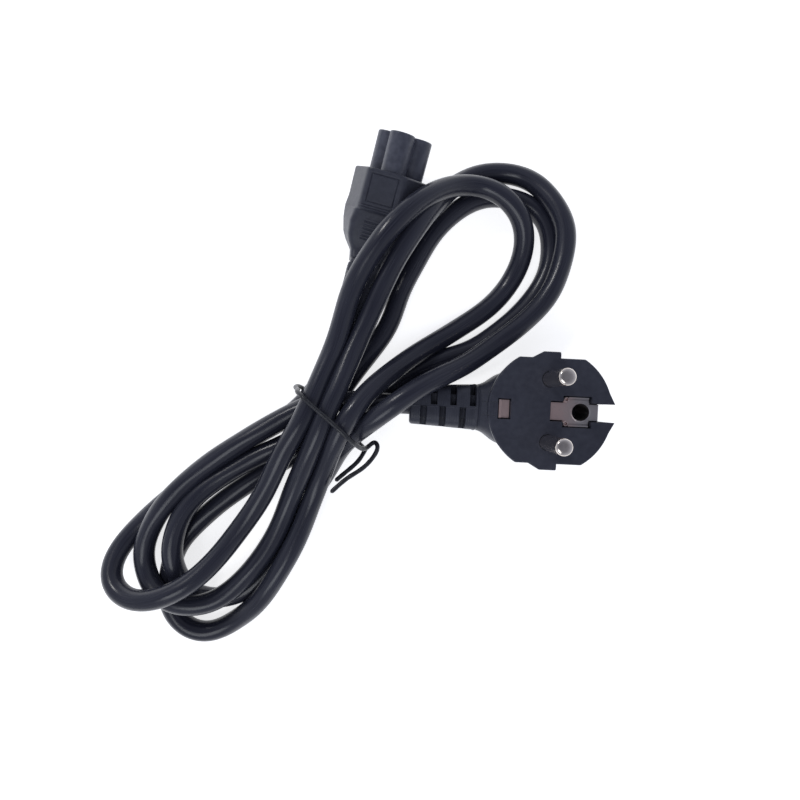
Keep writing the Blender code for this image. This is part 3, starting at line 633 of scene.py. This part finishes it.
# the disc's outline at an inset: arcs of the radius, flats, and ribs with one ramped side each
def discOutline(inset):
    radius, flat, rib = plug["radius"] - inset, plug["flat"] - inset, plug["rib"] - inset
    corner = np.arcsin(flat / radius)
    full = np.arcsin(plug["flat"] / plug["radius"])
    arc = np.linspace(-corner, corner, int(2 * full * plug["radius"] / plug["step"]))
    # the rim flares into a horn each side of the notch: r = R + horn ((from - |angle|) / (from - to))^1.5
    away = np.clip((plug["hornFrom"] - np.degrees(np.abs(arc))) / (plug["hornFrom"] - plug["hornTo"]), 0, 1)
    flared = radius + plug["horn"] * away ** 1.5
    middle = plug["centerX"]
    right = np.column_stack([middle + flared * np.cos(arc), flared * np.sin(arc)])
    left = np.column_stack([middle - radius * np.cos(arc), -radius * np.sin(arc)])
    cornerX = radius * np.cos(corner)
    low, high = plug["ribX"]
    upper = [(middle + cornerX, flat), (high, flat), (high, rib), (low, rib), (low - plug["ribRamp"], flat),
             (middle - cornerX, flat)]
    fixedCounts = [62, 9, 32, 23, 40]
    sides = [np.array(a) + (np.array(b) - np.array(a)) * np.linspace(0, 1, n, endpoint=False)[1 if k == 0 else 0:, None]
             for k, (a, b, n) in enumerate(zip(upper, upper[1:], fixedCounts))]
    upperLine = np.vstack(sides)
    lower = [(middle - cornerX, -flat), (low - plug["ribRamp"], -flat), (low, -rib), (high, -rib), (high, -flat),
             (middle + cornerX, -flat)]
    lowerSides = [np.array(a) + (np.array(b) - np.array(a)) * np.linspace(0, 1, n, endpoint=False)[1 if k == 0 else 0:, None]
                  for k, (a, b, n) in enumerate(zip(lower, lower[1:], fixedCounts[::-1]))]
    ring = np.vstack([right, upperLine, left, np.vstack(lowerSides)])
    return evenedRing(ring, plug["cornerEvening"])


def discSurface():
    levels = []
    for turn in np.linspace(0, pi / 2, 12):
        levels.append((plug["backRound"] * (1 - cos(turn)),
                       plug["draft"] + plug["backRound"] * (1 - sin(turn))))
    for share in np.linspace(0, 1, 14)[1:-1]:
        height = plug["backRound"] + share * (plug["height"] - plug["topRound"] - plug["backRound"])
        levels.append((height, plug["draft"] * (1 - share)))
    for turn in np.linspace(0, pi / 2, 8):
        levels.append((plug["height"] - plug["topRound"] * (1 - sin(turn)), plug["topRound"] * (1 - cos(turn))))
    grid = np.stack([np.column_stack([ring, np.full(len(ring), height)])
                     for ring, height in ((discOutline(inset), height) for height, inset in levels)])
    return ringSurface("disc", grid)


# relief: round its axis r = (|c/w|^4 + |s/h|^4)^(-1/4), cut back to the core in each slot
def reliefSurface():
    run = np.arange(10, 41.5, 0.13) * mm
    run = np.append(run, [41.3 * mm, 41.42 * mm, 41.48 * mm, 41.5 * mm])
    table = relief["rings"]
    fine = np.arange(9, 41.5, 0.05) * mm
    shape = np.stack([np.interp(fine, table[:, 0], table[:, k]) for k in (1, 2, 3)], axis=1)
    size = 26
    weights = np.exp(-0.5 * (np.arange(-size, size + 1) / 9) ** 2)
    weights /= weights.sum()
    padded = np.vstack([np.repeat(shape[:1], size, 0), shape, np.repeat(shape[-1:], size, 0)])
    shape = np.stack([np.convolve(padded[:, k], weights, "valid") for k in range(3)], axis=1)
    w, c, h = (np.interp(run, fine, shape[:, k])[:, None] for k in range(3))
    turn = np.linspace(0, 2 * pi, 168, endpoint=False)[None, :]
    co, si = np.cos(turn), np.sin(turn)
    outer = (np.abs(co / w) ** 4 + np.abs(si / h) ** 4) ** -0.25
    over = np.clip((run - (run[-1] - relief["endRound"])) / relief["endRound"], 0, 1)[:, None]
    outer = outer - relief["endRound"] * 0.75 * (1 - np.sqrt(np.clip(1 - over ** 2, 0, 1)))
    # a shallow collar groove where the relief leaves the disc, bowed across, with a raised lip behind it
    bow = 19.8 * mm + 0.35 * mm * (outer * co / (6 * mm)) ** 2
    outer = outer - 0.32 * mm * np.exp(-((run[:, None] - bow) / (0.26 * mm)) ** 2)
    outer = outer + 0.14 * mm * np.exp(-((run[:, None] - bow - 0.75 * mm) / (0.35 * mm)) ** 2)
    floorUp = np.minimum(outer, np.maximum(relief["core"] / np.maximum(np.abs(co), np.abs(si)),
                                           np.minimum(relief["spine"] / np.maximum(np.abs(co), 1e-6),
                                                      1) + 0 * outer))
    deep = np.maximum(relief["core"] / np.maximum(np.abs(co), np.abs(si)),
                      np.maximum(relief["spine"] / np.maximum(np.abs(co), 1e-6),
                                 relief["spine"] / np.maximum(np.abs(si), 1e-6)))
    deep = np.minimum(outer, deep)
    quadrantUp = (co * si > 0) * 1.0
    radius = outer
    for middles, quadrant in ((relief["slotsUp"], quadrantUp), (relief["slotsDown"], 1 - quadrantUp)):
        for middle in middles:
            away = np.abs(run[:, None] - middle) - relief["slot"] / 2
            inSlot = 1 - smoothStep(-relief["edge"] / 2, relief["edge"] / 2, away)
            radius = radius + (deep - radius) * inSlot * quadrant
    grid = np.stack([np.broadcast_to(-run[:, None], radius.shape), radius * co, c + radius * si], axis=-1)
    return ringSurface("relief", grid)


def boxData(name, x, y, z, flare=0.0):
    outline = dense([(x[0], y[0]), (x[1], y[0]), (x[1], y[1]), (x[0], y[1])], 0.4 * mm)
    return leveledPrism(name, outline, [(z[0], 0), (z[1], 0)])


pin = {"radius": 2.4 * mm, "length": 19 * mm, "seat": 7 * mm, "pitch": 19 * mm, "tip": 1.0 * mm, "dome": 3.0}
contact = {"holeX": 9.85 * mm, "hole": 2.45 * mm, "wall": 0.5 * mm, "tube": 13 * mm, "depth": 1.7 * mm,
           "thick": 0.8 * mm, "plateX": (4.55 * mm, 12.45 * mm), "half": 4.4 * mm, "tongueX": 0.75 * mm,
           "tongueHalf": 2.75 * mm, "outerX": 15.25 * mm, "outerHalf": 2.5 * mm, "legHalf": 2.1 * mm}
clip = {"x": (-15 * mm, -11.7 * mm), "half": 2.8 * mm, "thick": 0.7 * mm, "depth": 1.5 * mm}


# the pocket under the contact: its outline with a hair of room, opened slightly at the face
def contactOutline(room, openEnd=False):
    c = contact
    end = c["outerX"] + (3 * mm if openEnd else room)
    return [(c["tongueX"] - room, -c["tongueHalf"] - room), (c["plateX"][0] - room, -c["tongueHalf"] - room),
            (c["plateX"][0] - room, -c["half"] - room), (c["plateX"][1] + room, -c["half"] - room),
            (c["plateX"][1] + room, -c["outerHalf"] - room), (end, -c["outerHalf"] - room),
            (end, c["outerHalf"] + room), (c["plateX"][1] + room, c["outerHalf"] + room),
            (c["plateX"][1] + room, c["half"] + room), (c["plateX"][0] - room, c["half"] + room),
            (c["plateX"][0] - room, c["tongueHalf"] + room), (c["tongueX"] - room, c["tongueHalf"] + room)]


def makePlug():
    top, past = plug["height"], plug["height"] + 3 * mm
    steps = [("UNION", reliefSurface())]
    notch = [(plug["notchX"], -plug["notchHalf"]), (24 * mm, -plug["notchHalf"] - 0.15 * mm),
             (24 * mm, plug["notchHalf"] + 0.15 * mm), (plug["notchX"], plug["notchHalf"])]
    steps.append(("DIFFERENCE", leveledPrism("notch", notch, [(-3 * mm, 0), (past, 0)])))
    room = 0.03 * mm
    for y in (-pin["pitch"] / 2, pin["pitch"] / 2):
        seat = [(pin["radius"] + room, top - pin["seat"] - 0.3 * mm), (pin["radius"] + room, top - 0.3 * mm),
                (pin["radius"] + 2 * room, top - 0.1 * mm), (pin["radius"] + 3.2 * room, top + 0.05 * mm),
                (pin["radius"] + 3.2 * room, past)]
        steps.append(("DIFFERENCE", turnedSurface("seat", seat, 64, (0, y))))
    pocket = [(top - contact["depth"] - contact["thick"] - 0.3 * mm, 0), (top - 0.25 * mm, 0),
              (top + 0.02 * mm, -0.12 * mm), (past, -0.12 * mm)]
    steps.append(("DIFFERENCE", leveledPrism("pocket", contactOutline(0.28 * mm), pocket)))
    bore = contact["hole"] + contact["wall"] + 0.2 * mm
    steps.append(("DIFFERENCE", turnedSurface("bore", [(bore, top - contact["depth"] - contact["tube"] - 0.3 * mm),
                                                       (bore, past)], 64, (contact["holeX"], 0))))
    legX = (contact["outerX"] - 1 * mm, contact["outerX"] + 1 * mm)
    legY = (-contact["legHalf"] - 0.25 * mm, contact["legHalf"] + 0.25 * mm)
    steps.append(("DIFFERENCE", boxData("leg", legX, legY, (top - contact["depth"] - 12.3 * mm, past))))
    clipX = (clip["x"][0] - 0.25 * mm, clip["x"][1] + 0.25 * mm)
    clipY = (-clip["half"] - 0.25 * mm, clip["half"] + 0.25 * mm)
    clipHole = [(clipX[0], clipY[0]), (clipX[1], clipY[0]), (clipX[1], clipY[1]), (clipX[0], clipY[1])]
    clipLevels = [(top - clip["depth"] - clip["thick"] - 0.3 * mm, 0), (top - 0.2 * mm, 0),
                  (top + 0.02 * mm, -0.1 * mm), (past, -0.1 * mm)]
    steps.append(("DIFFERENCE", leveledPrism("clipPocket", clipHole, clipLevels)))
    made = pieceOf("plugShell", combined("plugShell", discSurface(), steps))
    give(made, plugPvc)
    finishShading(made)
    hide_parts("plug_body")
    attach(made, "root")
    return made


# pin: shaft, then a tip that follows radius x (1 - (z / tip)^dome)^(1 / dome)
def makePin(name, node, y):
    shaft = [(pin["radius"] - 0.1 * mm, -pin["seat"]), (pin["radius"], -pin["seat"] + 0.1 * mm)]
    shaft += [(pin["radius"], z) for z in np.linspace(-pin["seat"] + 0.3 * mm, pin["length"] - pin["tip"], 40)]
    rise = pin["tip"] * np.sin(np.linspace(0, pi / 2, 22))[1:]
    tip = [(pin["radius"] * max(1 - (z / pin["tip"]) ** pin["dome"], 0) ** (1 / pin["dome"]),
            pin["length"] - pin["tip"] + z)
           for z in rise]
    tip[-1] = (0.02 * mm, pin["length"])
    profile = np.array(shaft + tip)
    profile[:, 1] += plug["height"]
    made = pieceOf(name, turnedSurface(name, profile, 72, (0, y)))
    made.data.shade_smooth()
    give(made, nickel)
    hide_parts(node)
    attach(made, "root")
    return made


# earth contact: a stamped plate with rolled corner tabs, raised flanges, a collared hole and a leg
def makeContact():
    top = plug["height"] - contact["depth"]
    under = top - contact["thick"]
    edge = 0.12 * mm
    plate = leveledPrism("plate", dense(contactOutline(0), 0.5 * mm),
                         [(under, edge), (under + edge, 0), (top - edge, 0), (top, edge)])
    steps = []
    tubeOut = contact["hole"] + contact["wall"]
    tube = [(tubeOut - 0.1 * mm, top - contact["tube"]), (tubeOut, top - contact["tube"] + 0.1 * mm),
            (tubeOut, top - 0.1 * mm), (tubeOut + 0.05 * mm, top + 0.12 * mm), (tubeOut - 0.12 * mm, top + 0.22 * mm)]
    steps.append(("UNION", turnedSurface("tube", tube, 64, (contact["holeX"], 0))))
    legX = (contact["outerX"] - 0.7 * mm, contact["outerX"])
    steps.append(("UNION", boxData("leg", legX, (-contact["legHalf"], contact["legHalf"]),
                                   (top - 12 * mm, top - 0.2 * mm))))
    for side in (-1, 1):
        y = sorted((side * (contact["half"] - 0.42 * mm), side * contact["half"]))
        x = (contact["plateX"][0] + 1.5 * mm, contact["plateX"][1] - 0.4 * mm)
        steps.append(("UNION", boxData("flange", x, y, (top - 0.3 * mm, top + 0.9 * mm))))
        roll = [(0.82 * mm, top - 0.3 * mm), (0.82 * mm, top + 1.0 * mm), (0.68 * mm, top + 1.12 * mm)]
        steps.append(("UNION", turnedSurface("roll", roll, 32, (contact["plateX"][0] + 0.75 * mm,
                                                                side * (contact["half"] - 0.76 * mm)))))
    hole = [(contact["hole"], top - contact["tube"] - 1 * mm), (contact["hole"], top - 0.15 * mm),
            (contact["hole"] + 0.2 * mm, top + 0.25 * mm), (contact["hole"] + 0.2 * mm, top + 1 * mm)]
    steps.append(("DIFFERENCE", turnedSurface("hole", hole, 64, (contact["holeX"], 0))))
    for side in (-1, 1):
        y = sorted((side * (contact["half"] - 0.86 * mm), side * (contact["half"] - 0.42 * mm)))
        x = (contact["plateX"][0] + 1.6 * mm, contact["plateX"][1] + 0.5 * mm)
        steps.append(("DIFFERENCE", boxData("slit", x, y, (top - 0.5 * mm, top + 2 * mm))))
        eye = [(0.45 * mm, top - 0.2 * mm), (0.45 * mm, top + 2 * mm)]
        steps.append(("DIFFERENCE", turnedSurface("eye", eye, 24, (contact["plateX"][0] + 0.75 * mm,
                                                                   side * (contact["half"] - 0.76 * mm)))))
    made = pieceOf("earthPlate", combined("earthPlate", plate, steps))
    give(made, nickelBrass)
    finishShading(made, 40)
    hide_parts("earth_contact")
    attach(made, "root")
    return made


# clip: a bent strip whose centre line goes along the pocket's floor and up its wall
def makeClip():
    top = plug["height"]
    floor = top - clip["depth"] - clip["thick"] / 2
    bendRadius = 0.7 * mm
    wall = clip["x"][0] + clip["thick"] / 2
    turn = np.linspace(-pi / 2, -pi, 12)
    middle = [(clip["x"][1], floor)] + [(wall + bendRadius + bendRadius * cos(t), floor + bendRadius + bendRadius * sin(t))
                                        for t in turn] + [(wall, top - 0.15 * mm)]
    middle = np.array(middle)
    heading = np.gradient(middle, axis=0)
    heading /= np.linalg.norm(heading, axis=1)[:, None]
    across = np.stack([-heading[:, 1], heading[:, 0]], axis=1)
    section = np.vstack([middle + across * clip["thick"] / 2, (middle - across * clip["thick"] / 2)[::-1]])
    rows = []
    for y, inset in ((-clip["half"], 0.1 * mm), (-clip["half"] + 0.1 * mm, 0), (clip["half"] - 0.1 * mm, 0),
                     (clip["half"], 0.1 * mm)):
        ring = shrunk(section if polygonArea(section) > 0 else section[::-1], inset)
        rows.append(np.column_stack([ring[:, 0], np.full(len(ring), y), ring[:, 1]]))
    made = pieceOf("earthClip", ringSurface("earthClip", np.stack(rows)))
    give(made, nickelBrass)
    finishShading(made, 40)
    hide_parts("earth_clip")
    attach(made, "root")
    return made


# the area inside an outline: half the sum of its corners' cross products
def polygonArea(outline):
    after = np.roll(outline, -1, axis=0)
    return (outline[:, 0] * after[:, 1] - outline[:, 1] * after[:, 0]).sum() / 2


print("plug")
makePlug()
makePin("pinUpper", "plug_pin_upper", pin["pitch"] / 2)
makePin("pinLower", "plug_pin_lower", -pin["pitch"] / 2)
makeContact()
makeClip()

# connector: rings of (distance behind the nose, foot half width, top half width, foot, height)
body = {"rings": np.array(((0, 13.2, 5.3, 0, 15.8), (8, 13.2, 5.5, 0, 15.8), (12.2, 13.1, 5.5, 0, 15.8),
                           (12.5, 13.1, 5.7, 0, 15.4), (12.9, 13, 6.5, 0, 14.8), (16.5, 12.6, 7.2, 0, 14.7),
                           (20.8, 11.5, 6.9, 0.2, 14.4), (23.5, 10.1, 6.2, 1, 14), (26.6, 8, 5, 1.5, 13.4),
                           (30.5, 7.1, 4.3, 1.2, 13), (31.0, 6.1, 4, 1.2, 12.4), (32.4, 6.1, 4, 1, 12.4),
                           (32.8, 7.2, 4.2, 0.6, 12.8), (45, 6.4, 4, 0.4, 12.4), (50.3, 6.0, 3.9, 0.4, 12.2))) * mm,
        "chamfer": 1.2 * mm, "frontRound": 0.7 * mm, "endRound": 0.9 * mm, "corner": 2.2,
        "panel": (-4.5 * mm, 3.9 * mm, 1.6 * mm, 9.9 * mm), "bands": (11.0 * mm, 11.75 * mm),
        "ribs": (14.9 * mm, 21.6 * mm, 1.06 * mm, 3.5 * mm), "slots": (36.4 * mm, 40.7 * mm, 45 * mm),
        "slotWidth": 1.35 * mm, "slotCore": 3.6 * mm, "slotShift": 2.15 * mm, "leftFoot": (0.4 * mm, 0.8 * mm)}


# a section of the body: foot chamfer, sloping side and top, each side cut into a fixed count of steps
def bodySection(foot, top, low, high):
    c = body["chamfer"]
    half = [(0, low), (foot - c, low), (foot, low + c), (foot, low + 2 * c), (top + c * 0.9, high - c * 0.45),
            (top, high), (0, high)]
    counts = (22, 5, 4, 34, 5, 30)
    right = np.vstack([np.array(a) + (np.array(b) - np.array(a)) * np.linspace(0, 1, n, endpoint=False)[:, None]
                       for a, b, n in zip(half, half[1:], counts)])
    left = np.vstack([[(0, high)], (right * (-1, 1))[:0:-1]])
    return evenedRing(np.vstack([right, left]), body["corner"])


def bodySurface():
    table = body["rings"]
    ends = [0, 0.02, 0.08, 0.18, 0.32, 0.5, 0.7]
    run = np.concatenate([np.array(ends), np.arange(0.84, 25, 0.13), np.arange(25, 49.4, 0.2),
                          50.3 - np.array(ends[::-1]) * 1.25]) * mm
    insetFront = body["frontRound"] * (1 - np.sqrt(np.clip(1 - np.clip(1 - run / body["frontRound"], 0, 1) ** 2, 0, 1)))
    fromEnd = (run[-1] - run) / body["endRound"]
    insetEnd = body["endRound"] * (1 - np.sqrt(np.clip(1 - np.clip(1 - fromEnd, 0, 1) ** 2, 0, 1)))
    inset = insetFront + insetEnd
    shape = [np.interp(run, table[:, 0], table[:, k]) for k in range(1, 5)]
    rings = np.stack([bodySection(f - i, t - i, l + i, h - i) for f, t, l, h, i in zip(*shape, inset)])
    x, z = rings[..., 0], rings[..., 1]
    s = run[:, None] + 0 * x
    high = shape[3][:, None]
    # the left foot spreads wider than the right: most where the block ends, none at the top face
    least, more = body["leftFoot"]
    spread = least + more * smoothStep(8 * mm, 14 * mm, s) * (1 - smoothStep(20 * mm, 28 * mm, s))
    x = x - spread * (1 - z / high).clip(0, 1) * smoothStep(0, 3 * mm, -x)
    onTop = smoothStep(high - 1.2 * mm, high - 0.5 * mm, z)
    # panel: a sunk line round a rectangle, its depth falling off with the distance to the outline
    x0, x1, s0, s1 = body["panel"]
    outside = np.maximum(np.maximum(x0 - x, x - x1), np.maximum(s0 - s, s - s1))
    groove = np.exp(-(outside / (0.17 * mm)) ** 2) * 0.28 * mm
    for band in body["bands"]:
        groove = groove + np.exp(-((s - band) / (0.16 * mm)) ** 2) * 0.25 * mm
    # grip ribs: a raised wave behind the block, inside a rectangle
    start, stop, pitch, half = body["ribs"]
    inRibs = smoothStep(start, start + 0.3 * mm, s) * (1 - smoothStep(stop - 0.3 * mm, stop, s))
    inRibs = inRibs * (1 - smoothStep(half - 0.25 * mm, half + 0.05 * mm, np.abs(x + 0.6 * mm)))
    wave = (0.5 + 0.5 * np.cos(2 * pi * (s - start) / pitch)) ** 3
    z = z + onTop * (-groove + inRibs * (0.34 * mm * wave - 0.05 * mm))
    # strain relief slots: each side cut in to the core, left and right in turn
    for middle in body["slots"]:
        for side, shift in ((-1, 0), (1, body["slotShift"])):
            away = np.abs(s - middle - shift) - body["slotWidth"] / 2
            inSlot = 1 - smoothStep(-0.12 * mm, 0.12 * mm, away)
            held = np.clip(side * x, None, body["slotCore"]) * side
            x = x + (held - x) * inSlot * (side * x > 0)
    grid = np.stack([x, -s, z], axis=-1)
    along = np.clip((connector["levelFrom"] - run) / (connector["levelFrom"] - connector["upFrom"]), 0, 1)
    share = along * along * (3 - 2 * along)
    return ringSurface("connectorBody", placed(turnedUp(grid, share[:, None]), connectorPlace()))


nose = {"length": 12 * mm, "from": -2.5 * mm, "foot": 1.2 * mm, "spacing": 10 * mm, "lobe": 3.7 * mm,
        "earthLobe": 4 * mm, "rise": 5.2 * mm, "webRise": 1.4 * mm, "web": 4.6 * mm, "round": 0.55 * mm,
        "hole": 1.7 * mm, "holeDepth": 14 * mm, "columns": 288}


# the nose's outline round its middle: the farthest lobe, blended by a high power sum
def noseReach(turn, grow):
    low = nose["foot"] + nose["lobe"]
    middle = low + nose["webRise"]
    lobes = ((-nose["spacing"] / 2, low - middle, nose["lobe"]), (nose["spacing"] / 2, low - middle, nose["lobe"]),
             (0, low + nose["rise"] - middle, nose["earthLobe"]), (0, 0, nose["web"]))
    total = 0
    for x, z, radius in lobes:
        along = x * np.cos(turn) + z * np.sin(turn)
        inside = (radius + grow) ** 2 - x * x - z * z + along * along
        reach = np.where(inside > 0, along + np.sqrt(np.maximum(inside, 0)), 0)
        total = total + np.maximum(reach, 0) ** 26
    return total ** (1 / 26), middle


def makeNose():
    turn = np.linspace(0, 2 * pi, nose["columns"], endpoint=False)
    rounding = np.linspace(0, pi / 2, 9)
    start, stop = nose["from"], nose["length"] - nose["round"]
    run = np.concatenate([np.linspace(start, stop, 60), stop + nose["round"] * np.sin(rounding[1:])])
    grow = np.concatenate([np.zeros(60), -nose["round"] * (1 - np.cos(rounding[1:]))])
    aside = connector["noseAside"]
    grid = []
    for y, g in zip(run, grow):
        reach, middle = noseReach(turn, g)
        grid.append(np.stack([aside + reach * np.cos(turn), np.full(len(turn), y), middle + reach * np.sin(turn)], axis=-1))
    place = connectorPlace()
    solid = ringSurface("nose", placed(turnedUp(np.stack(grid), 1), place))
    low = nose["foot"] + nose["lobe"]
    steps = []
    for x, z in ((-nose["spacing"] / 2, low), (nose["spacing"] / 2, low), (0, low + nose["rise"])):
        profile = np.array([(nose["hole"], nose["length"] - nose["holeDepth"]), (nose["hole"], nose["length"] - 0.4 * mm),
                            (nose["hole"] + 0.12 * mm, nose["length"] - 0.2 * mm),
                            (nose["hole"] + 0.4 * mm, nose["length"] + 0.02 * mm),
                            (nose["hole"] + 0.4 * mm, nose["length"] + 2 * mm)])
        angle = np.linspace(0, 2 * pi, 40, endpoint=False)
        ring = np.stack([aside + x + profile[:, :1] * np.cos(angle), profile[:, 1:] + 0 * angle,
                         z + profile[:, :1] * np.sin(angle)], axis=-1)
        steps.append(("DIFFERENCE", ringSurface("socket", placed(turnedUp(ring, 1), place))))
    made = pieceOf("noseInsert", combined("noseInsert", solid, steps))
    give(made, noseInsert)
    finishShading(made, 38)
    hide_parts("connector_nose")
    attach(made, "root")
    return made


def makeConnectorBody():
    made = pieceOf("connectorShell", bodySurface())
    give(made, connectorPvc)
    finishShading(made, 40)
    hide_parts("connector_body")
    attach(made, "root")
    return made


print("connector")
connectorShell = makeConnectorBody()
noseShell = makeNose()

# tie: one wire from its outer tail over the strands, under them, and past the knot to its inner tail
tie = {"diameter": 1.5 * mm, "rings": 420, "sides": 14}
tieRoute = np.array((
    (-65.1, -29, 14), (-60.1, -24.4, 12.8), (-55.4, -21, 11.8), (-52, -16.8, 11), (-51.2, -14, 11),
    (-52.2, -12.9, 10.4), (-54.4, -14.4, 12), (-56.7, -13.9, 18), (-60, -10.9, 22.4),
    (-65, -6.6, 22.9), (-70, -2.6, 22.9), (-74, 0.6, 22.3), (-76.2, 2.2, 19), (-77.2, 2.9, 12.5),
    (-79, 3.7, 6.5), (-78.6, 4, 3), (-77.4, 3.4, 1.2), (-75.5, 1.8, 0.8), (-66, -6.2, 0.8), (-58, -13.7, 0.9),
    (-55.6, -15.6, 3.6),
    (-55.4, -16, 8), (-57, -18.8, 9.6), (-60.5, -22.4, 10.8), (-64, -25.6, 12),
)) * mm


def makeTie():
    line = smoothLine(tieRoute, tie["rings"])
    line[:, 2] = np.maximum(line[:, 2], tie["diameter"] / 2)

    # an uneven coat over the wire: r = R + two slow waves along it
    def coat(run, turn):
        return tie["diameter"] / 2 * (1 - 0.05 * np.cos(run / 0.0011) ** 2 - 0.04 * np.cos(run / 0.0029 + turn))

    made = pieceOf("tieWire", tubeSurface("tieWire", line, coat, tie["sides"], True))
    made.data.shade_smooth()
    give(made, tieCoating)
    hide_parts("twist_tie")
    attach(made, "root")
    return made


tieWire = makeTie()

give(cordJacket, jacketPvc)
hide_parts("cord")
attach(cordJacket, "root")

for name in ("contact_line", "contact_neutral", "contact_earth"):
    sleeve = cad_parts[name]
    for held in sleeve.material_slots:
        held.material = nickelBrass
print("cord, tie and contacts finished")


# floor: a plain white sheet, and soft light from above left with a dim overhead
studio = {"floorSize": 3.0, "floorDrop": 0.00002, "key": (-0.62, 0.58, 0.66), "keySize": 0.16, "keyPower": 1.7,
          "fill": (-0.3, -0.56, 0.95), "fillSize": 0.55, "fillPower": 2.2, "floorGlow": 0.74}
half = studio["floorSize"] / 2
span = np.linspace(-half, half, 9)
gridX, gridY = np.meshgrid(span, span, indexing="ij")
floorPoints = np.stack([gridX, gridY, np.full_like(gridX, -studio["floorDrop"])], axis=-1).reshape(-1, 3)
cell = (np.arange(8)[:, None] * 9 + np.arange(8)).ravel()
floorQuads = np.stack([cell, cell + 9, cell + 10, cell + 1], axis=1)
floor = pieceOf("floor", newMesh("floor", floorPoints, floorQuads, np.zeros((0, 3), int)))
floorBoard = Board("floorWhite")
paper = floorBoard.noise(floorBoard.place(), 900, 3, 0.6)
floorBoard.set(Base_Color=floorBoard.mix(paper, (0.93, 0.93, 0.935, 1), (0.955, 0.955, 0.96, 1)), Roughness=0.9,
               Normal=floorBoard.bump(paper, 0.00002, 0.3), Emission_Color=(1, 1, 1, 1), Emission_Strength=studio["floorGlow"])
give(floor, floorBoard.look)


def areaLight(name, place, size, power, colour):
    data = bpy.data.lights.new(name, "AREA")
    data.shape = "DISK"
    data.size = size
    data.energy = power
    data.color = colour
    lamp = bpy.data.objects.new(name, data)
    lamp.location = place
    lamp.rotation_euler = (-Vector(place)).to_track_quat("-Z", "Y").to_euler()
    bpy.context.scene.collection.objects.link(lamp)


areaLight("keyLight", studio["key"], studio["keySize"], studio["keyPower"], (1.0, 0.99, 0.97))
areaLight("fillLight", studio["fill"], studio["fillSize"], studio["fillPower"], (0.94, 0.97, 1.0))

# world: dim overhead, brighter towards the horizon
world = bpy.data.worlds.new("studio")
world.use_nodes = True
bpy.context.scene.world = world
tree = world.node_tree
spot = tree.nodes.new("ShaderNodeTexCoord")
split = tree.nodes.new("ShaderNodeSeparateXYZ")
tree.links.new(spot.outputs["Generated"], split.inputs[0])
ramp = tree.nodes.new("ShaderNodeValToRGB")
ramp.color_ramp.elements[0].position = 0.0
ramp.color_ramp.elements[0].color = (0.60, 0.63, 0.70, 1)
ramp.color_ramp.elements[1].position = 1.0
ramp.color_ramp.elements[1].color = (0.13, 0.135, 0.165, 1)
middleStop = ramp.color_ramp.elements.new(0.75)
middleStop.color = (0.34, 0.355, 0.42, 1)
tree.links.new(split.outputs[2], ramp.inputs[0])
tree.links.new(ramp.outputs[0], tree.nodes["Background"].inputs[0])
tree.nodes["Background"].inputs[1].default_value = 1.0
bpy.context.scene.view_settings.view_transform = "Standard"
print("studio")
